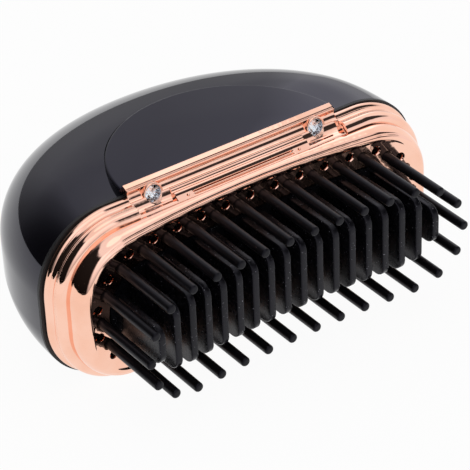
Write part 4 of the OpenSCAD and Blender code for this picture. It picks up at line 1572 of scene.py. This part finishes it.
@dataclass
class FrameFinishes:
    """The finishes of the CAD nodes that keep their own shape."""

    finishes: tuple[tuple[Finish, tuple[str, ...]], ...] = (
        (GASKET_RUBBER, ("shell_gasket",)),
        (BLADE_COATING, ("heater_base",)),
        (INNER_NYLON, ("pin_frame", "battery_tray")),
        (ALUMINA, ("ceramic_heaters", "thermistor", "thermal_fuse")),
        (MICA_SHEET, ("heat_shield",)),
        (CELL_SLEEVE, ("battery_cell",)),
        (SOLDER_MASK, ("control_board",)),
        (CHIP_EPOXY, ("board_chips", "tact_switch")),
        (WHITE_ABS, ("switch_plunger", "status_led")),
        (LIGHT_PIPE, ("indicator_lens",)),
        (WIRE_SILICONE, ("battery_leads", "heater_leads")),
        (NICKEL_STEEL, (
            "heater_clamp", "clamp_screws", "frame_screws", "cell_tabs", "tray_screws",
            "board_screws", "charging_socket",
        )),
    )

    def build(self, nodes: dict[str, Piece]) -> None:
        """Puts one shared material of each finish on the nodes that wear it.

        Args:
            nodes: The frame's node objects by name.
        """
        for finish, names in self.finishes:
            material = finish.build()
            for name in names:
                wear(nodes[name], material)
                LOG.info("%s wears %s", name, finish.name)


# ---- studio


@dataclass
class Studio:
    """The camera, the lamp, the surroundings and the floor.

    Attributes:
        eye: Camera place in metres.
        right: Camera's right.
        up: Camera's up.
        look: Camera's viewing direction.
        lens: Focal length in millimetres on a 36 mm sensor.
        soft_light: Strength of the surroundings as soft light.
        glow: Share of plain white in the paper, for the eye and the gloss.
        reflection_sheet_r: Radius of the sphere of the painted reflection sheet in metres.
        reflection_sheet_z: Height of its centre in metres.
    """

    eye: Place = (-0.289907, -0.436664, 0.366900)
    right: Place = (0.813013, -0.581184, -0.035152)
    up: Place = (0.346130, 0.433887, 0.831827)
    look: Place = (0.468192, 0.688453, -0.553921)
    lens: float = 185.8
    soft_light: float = 0.55
    glow: float = 0.95
    reflection_sheet_r: float = 0.7
    reflection_sheet_z: float = 0.024

    @staticmethod
    def stand(name: str, data: bpy.types.ID, axes: Array, place: Place) -> Piece:
        """Stands an object at a place, turned.

        Args:
            name: Object name.
            data: Its lamp or camera.
            axes: Its own X, Y and Z as unit rows.
            place: Where it stands, in metres.

        Returns:
            The object.
        """
        piece = add_object(name, data)
        piece.matrix_world = Matrix([*np.column_stack([axes.T, place]).tolist(), [0, 0, 0, 1]])
        return piece

    def camera(self) -> None:
        """Places the camera where the photograph was taken from."""
        data = bpy.data.cameras.new("camera")
        data.lens, data.sensor_width, data.clip_start = self.lens, 36.0, 0.01
        axes = np.array([self.right, self.up, [-v for v in self.look]])
        bpy.context.scene.camera = self.stand("camera", data, axes, self.eye)

    def world(self) -> None:
        """Plain white surroundings for the eye, the gloss and the glass, and soft light."""
        world = bpy.data.worlds.new("studio_room")
        tree = clear_tree(world)
        rays = add_node(tree, "ShaderNodeLightPath").outputs
        clear = math_node(tree, "MAXIMUM", rays["Is Glossy Ray"], rays["Is Transmission Ray"])
        seen = math_node(tree, "MAXIMUM", rays["Is Camera Ray"], clear)
        inputs = {"Value": seen, "To Min": self.soft_light, "To Max": 1.0}
        level = add_node(tree, "ShaderNodeMapRange", inputs).outputs[0]
        sky = add_node(tree, "ShaderNodeBackground", {"Color": (1, 1, 1, 1), "Strength": level})
        add_node(tree, "ShaderNodeOutputWorld", {0: sky.outputs[0]})
        bpy.context.scene.world = world

    @staticmethod
    def sheet(
        name: str, points: Array, faces: list[list[int]], material: str
    ) -> tuple[Piece, Tree]:
        """Makes a sheet that belongs to the studio and not to the brush.

        Args:
            name: Object name.
            points: Its points in metres, shape (n, 3).
            faces: Point numbers of each face.
            material: Name of its material.

        Returns:
            The sheet and the empty tree of its material.
        """
        mesh = bpy.data.meshes.new(name)
        mesh.from_pydata(points.tolist(), [], faces)
        mesh.materials.append(bpy.data.materials.new(material))
        sheet = add_object(name, mesh)
        return sheet, clear_tree(mesh.materials[0])

    def paper(self, name: str, radius: float, height: float) -> Piece:
        """A round sheet of white paper under the brush, which keeps a faint shadow.

        Args:
            name: Object name.
            radius: Radius in metres.
            height: Height of its face in metres.

        Returns:
            The sheet.
        """
        t = np.linspace(0, 2 * np.pi, 96, endpoint=False)
        rim = np.column_stack([radius * np.cos(t), radius * np.sin(t), np.full_like(t, height)])
        sheet, tree = self.sheet(name, rim, [list(range(len(t)))], "white_paper")
        rays = add_node(tree, "ShaderNodeLightPath").outputs
        matt = add_node(tree, "ShaderNodeBsdfDiffuse", {"Color": srgb("#f6f6f6")}).outputs[0]
        white = add_node(tree, "ShaderNodeEmission", {"Strength": 1.0}).outputs[0]
        clear = math_node(tree, "MAXIMUM", rays["Is Camera Ray"], rays["Is Glossy Ray"])
        share = math_node(tree, "MULTIPLY", clear, self.glow)
        face = add_node(tree, "ShaderNodeMixShader", {0: share, 1: matt, 2: white})
        add_node(tree, "ShaderNodeOutputMaterial", {0: face.outputs[0]})
        return sheet

    def floor(self) -> None:
        """The table under the brush, and the wide sweep round it that the gloss doesn't see."""
        self.paper("table_top", 0.17, 0.0)
        self.paper("white_sweep", 4.0, -0.0002).visible_glossy = False

    def reflection_sheet(self) -> None:
        """A glowing sheet round the brush that only the gloss sees: it paints dark and light
        reflections.

        It is part of a sphere, whose shade runs from 0, black, to 1, white. Low down the shade
        follows the direction round the brush: grey behind it, black at its left, white in front
        and black again at its right; it brightens upwards. From the height (crest - soft) it
        blends to white as 3 u^2 - 2 u^3, where u is the share of soft that is climbed, and it is
        white below foot.
        """
        turn = np.linspace(30, 350, 321)[:, None]
        rise = np.linspace(-1, 75, 96)[None]
        grey = (
            (30, 1), (37, 1.3), (49, 1.2), (53, 0.72), (60, 0.6), (88, 0.58), (96, 0.48),
            (104, 0.33), (112, 0.23), (120, 0.1), (126, 0.04), (132, 0.01), (216, 0.01),
            (229, 1), (290, 1), (298, 0.03), (336, 0.03), (347, 1),
        )
        lift = np.interp(rise, (-1, 6, 18, 30, 42), (0.5, 0.68, 1, 1.16, 1.35))
        low = np.interp(turn, *zip(*grey)) * lift
        around = (50, 90, 120, 140, 190, 236, 290, 350)
        crest = np.interp(turn, around, (56, 58, 60, 64, 62, 55, 54, 54))
        soft = np.interp(turn, (90, 130), (14, 6))
        foot = np.interp(turn, (280, 292), (-6, 14))
        u = np.clip(np.maximum((rise - crest + soft) / soft, (foot + 5 - rise) / 5), 0, 1)
        shade = low + (1 - low) * ease(u)
        t, e = np.radians(turn), np.radians(rise)
        points = np.stack([np.cos(t) * np.cos(e), np.sin(t) * np.cos(e), np.sin(e) + 0 * t], -1)
        points = (points * self.reflection_sheet_r + [0, 0, self.reflection_sheet_z]).reshape(-1, 3)
        faces = grid_faces(*shade.shape).tolist()
        card, tree = self.sheet("painted_reflection_sheet", points, faces, "painted_reflection_glow")
        reflection_shade = card.data.attributes.new("reflection_shade", "FLOAT", "POINT")
        reflection_shade.data.foreach_set("value", shade.astype(np.float32).ravel())
        # Only the gloss sees the sheet, so its glow is painted reflection and lights nothing.
        for ray in ("camera", "diffuse", "transmission", "volume_scatter", "shadow"):
            setattr(card, f"visible_{ray}", False)
        # The sheet glows by its shade: painted dark and light reflections.
        reflection_strength = add_node(tree, "ShaderNodeAttribute", attribute_name="reflection_shade").outputs["Fac"]
        reflection_glow = add_node(tree, "ShaderNodeEmission", {"Color": srgb("#fbfaff"), "Strength": reflection_strength})
        add_node(tree, "ShaderNodeOutputMaterial", {0: reflection_glow.outputs[0]})

    def lamp(self, name: str, place: Place, size: float, power: float) -> None:
        """Adds a soft square lamp that faces the brush.

        Args:
            name: Object name.
            place: Where it stands, in metres.
            size: Length of its side in metres.
            power: Its power in watts.
        """
        data = bpy.data.lights.new(name, "AREA")
        data.size, data.energy = size, power
        self.stand(name, data, np.array(frame_about(np.array(place))), place)

    def build(self) -> None:
        """Sets up the whole studio."""
        self.camera()
        self.world()
        self.floor()
        self.reflection_sheet()
        self.lamp("overhead_softbox", (-0.15, 0.2, 1.1), size=1.7, power=3.2)
        bpy.context.scene.view_settings.view_transform = "Standard"


def main() -> None:
    """Builds the brush over its frame."""
    logging.basicConfig(level=logging.INFO, format="%(message)s")
    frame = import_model()
    Studio().build()
    Casing().build()
    Controls().build()
    Band().build()
    Bridge().build()
    FacePlate().build()
    Pins().build()
    Comb().build()
    FrameFinishes().build(frame["nodes"])


if __name__ == "__main__":
    main()
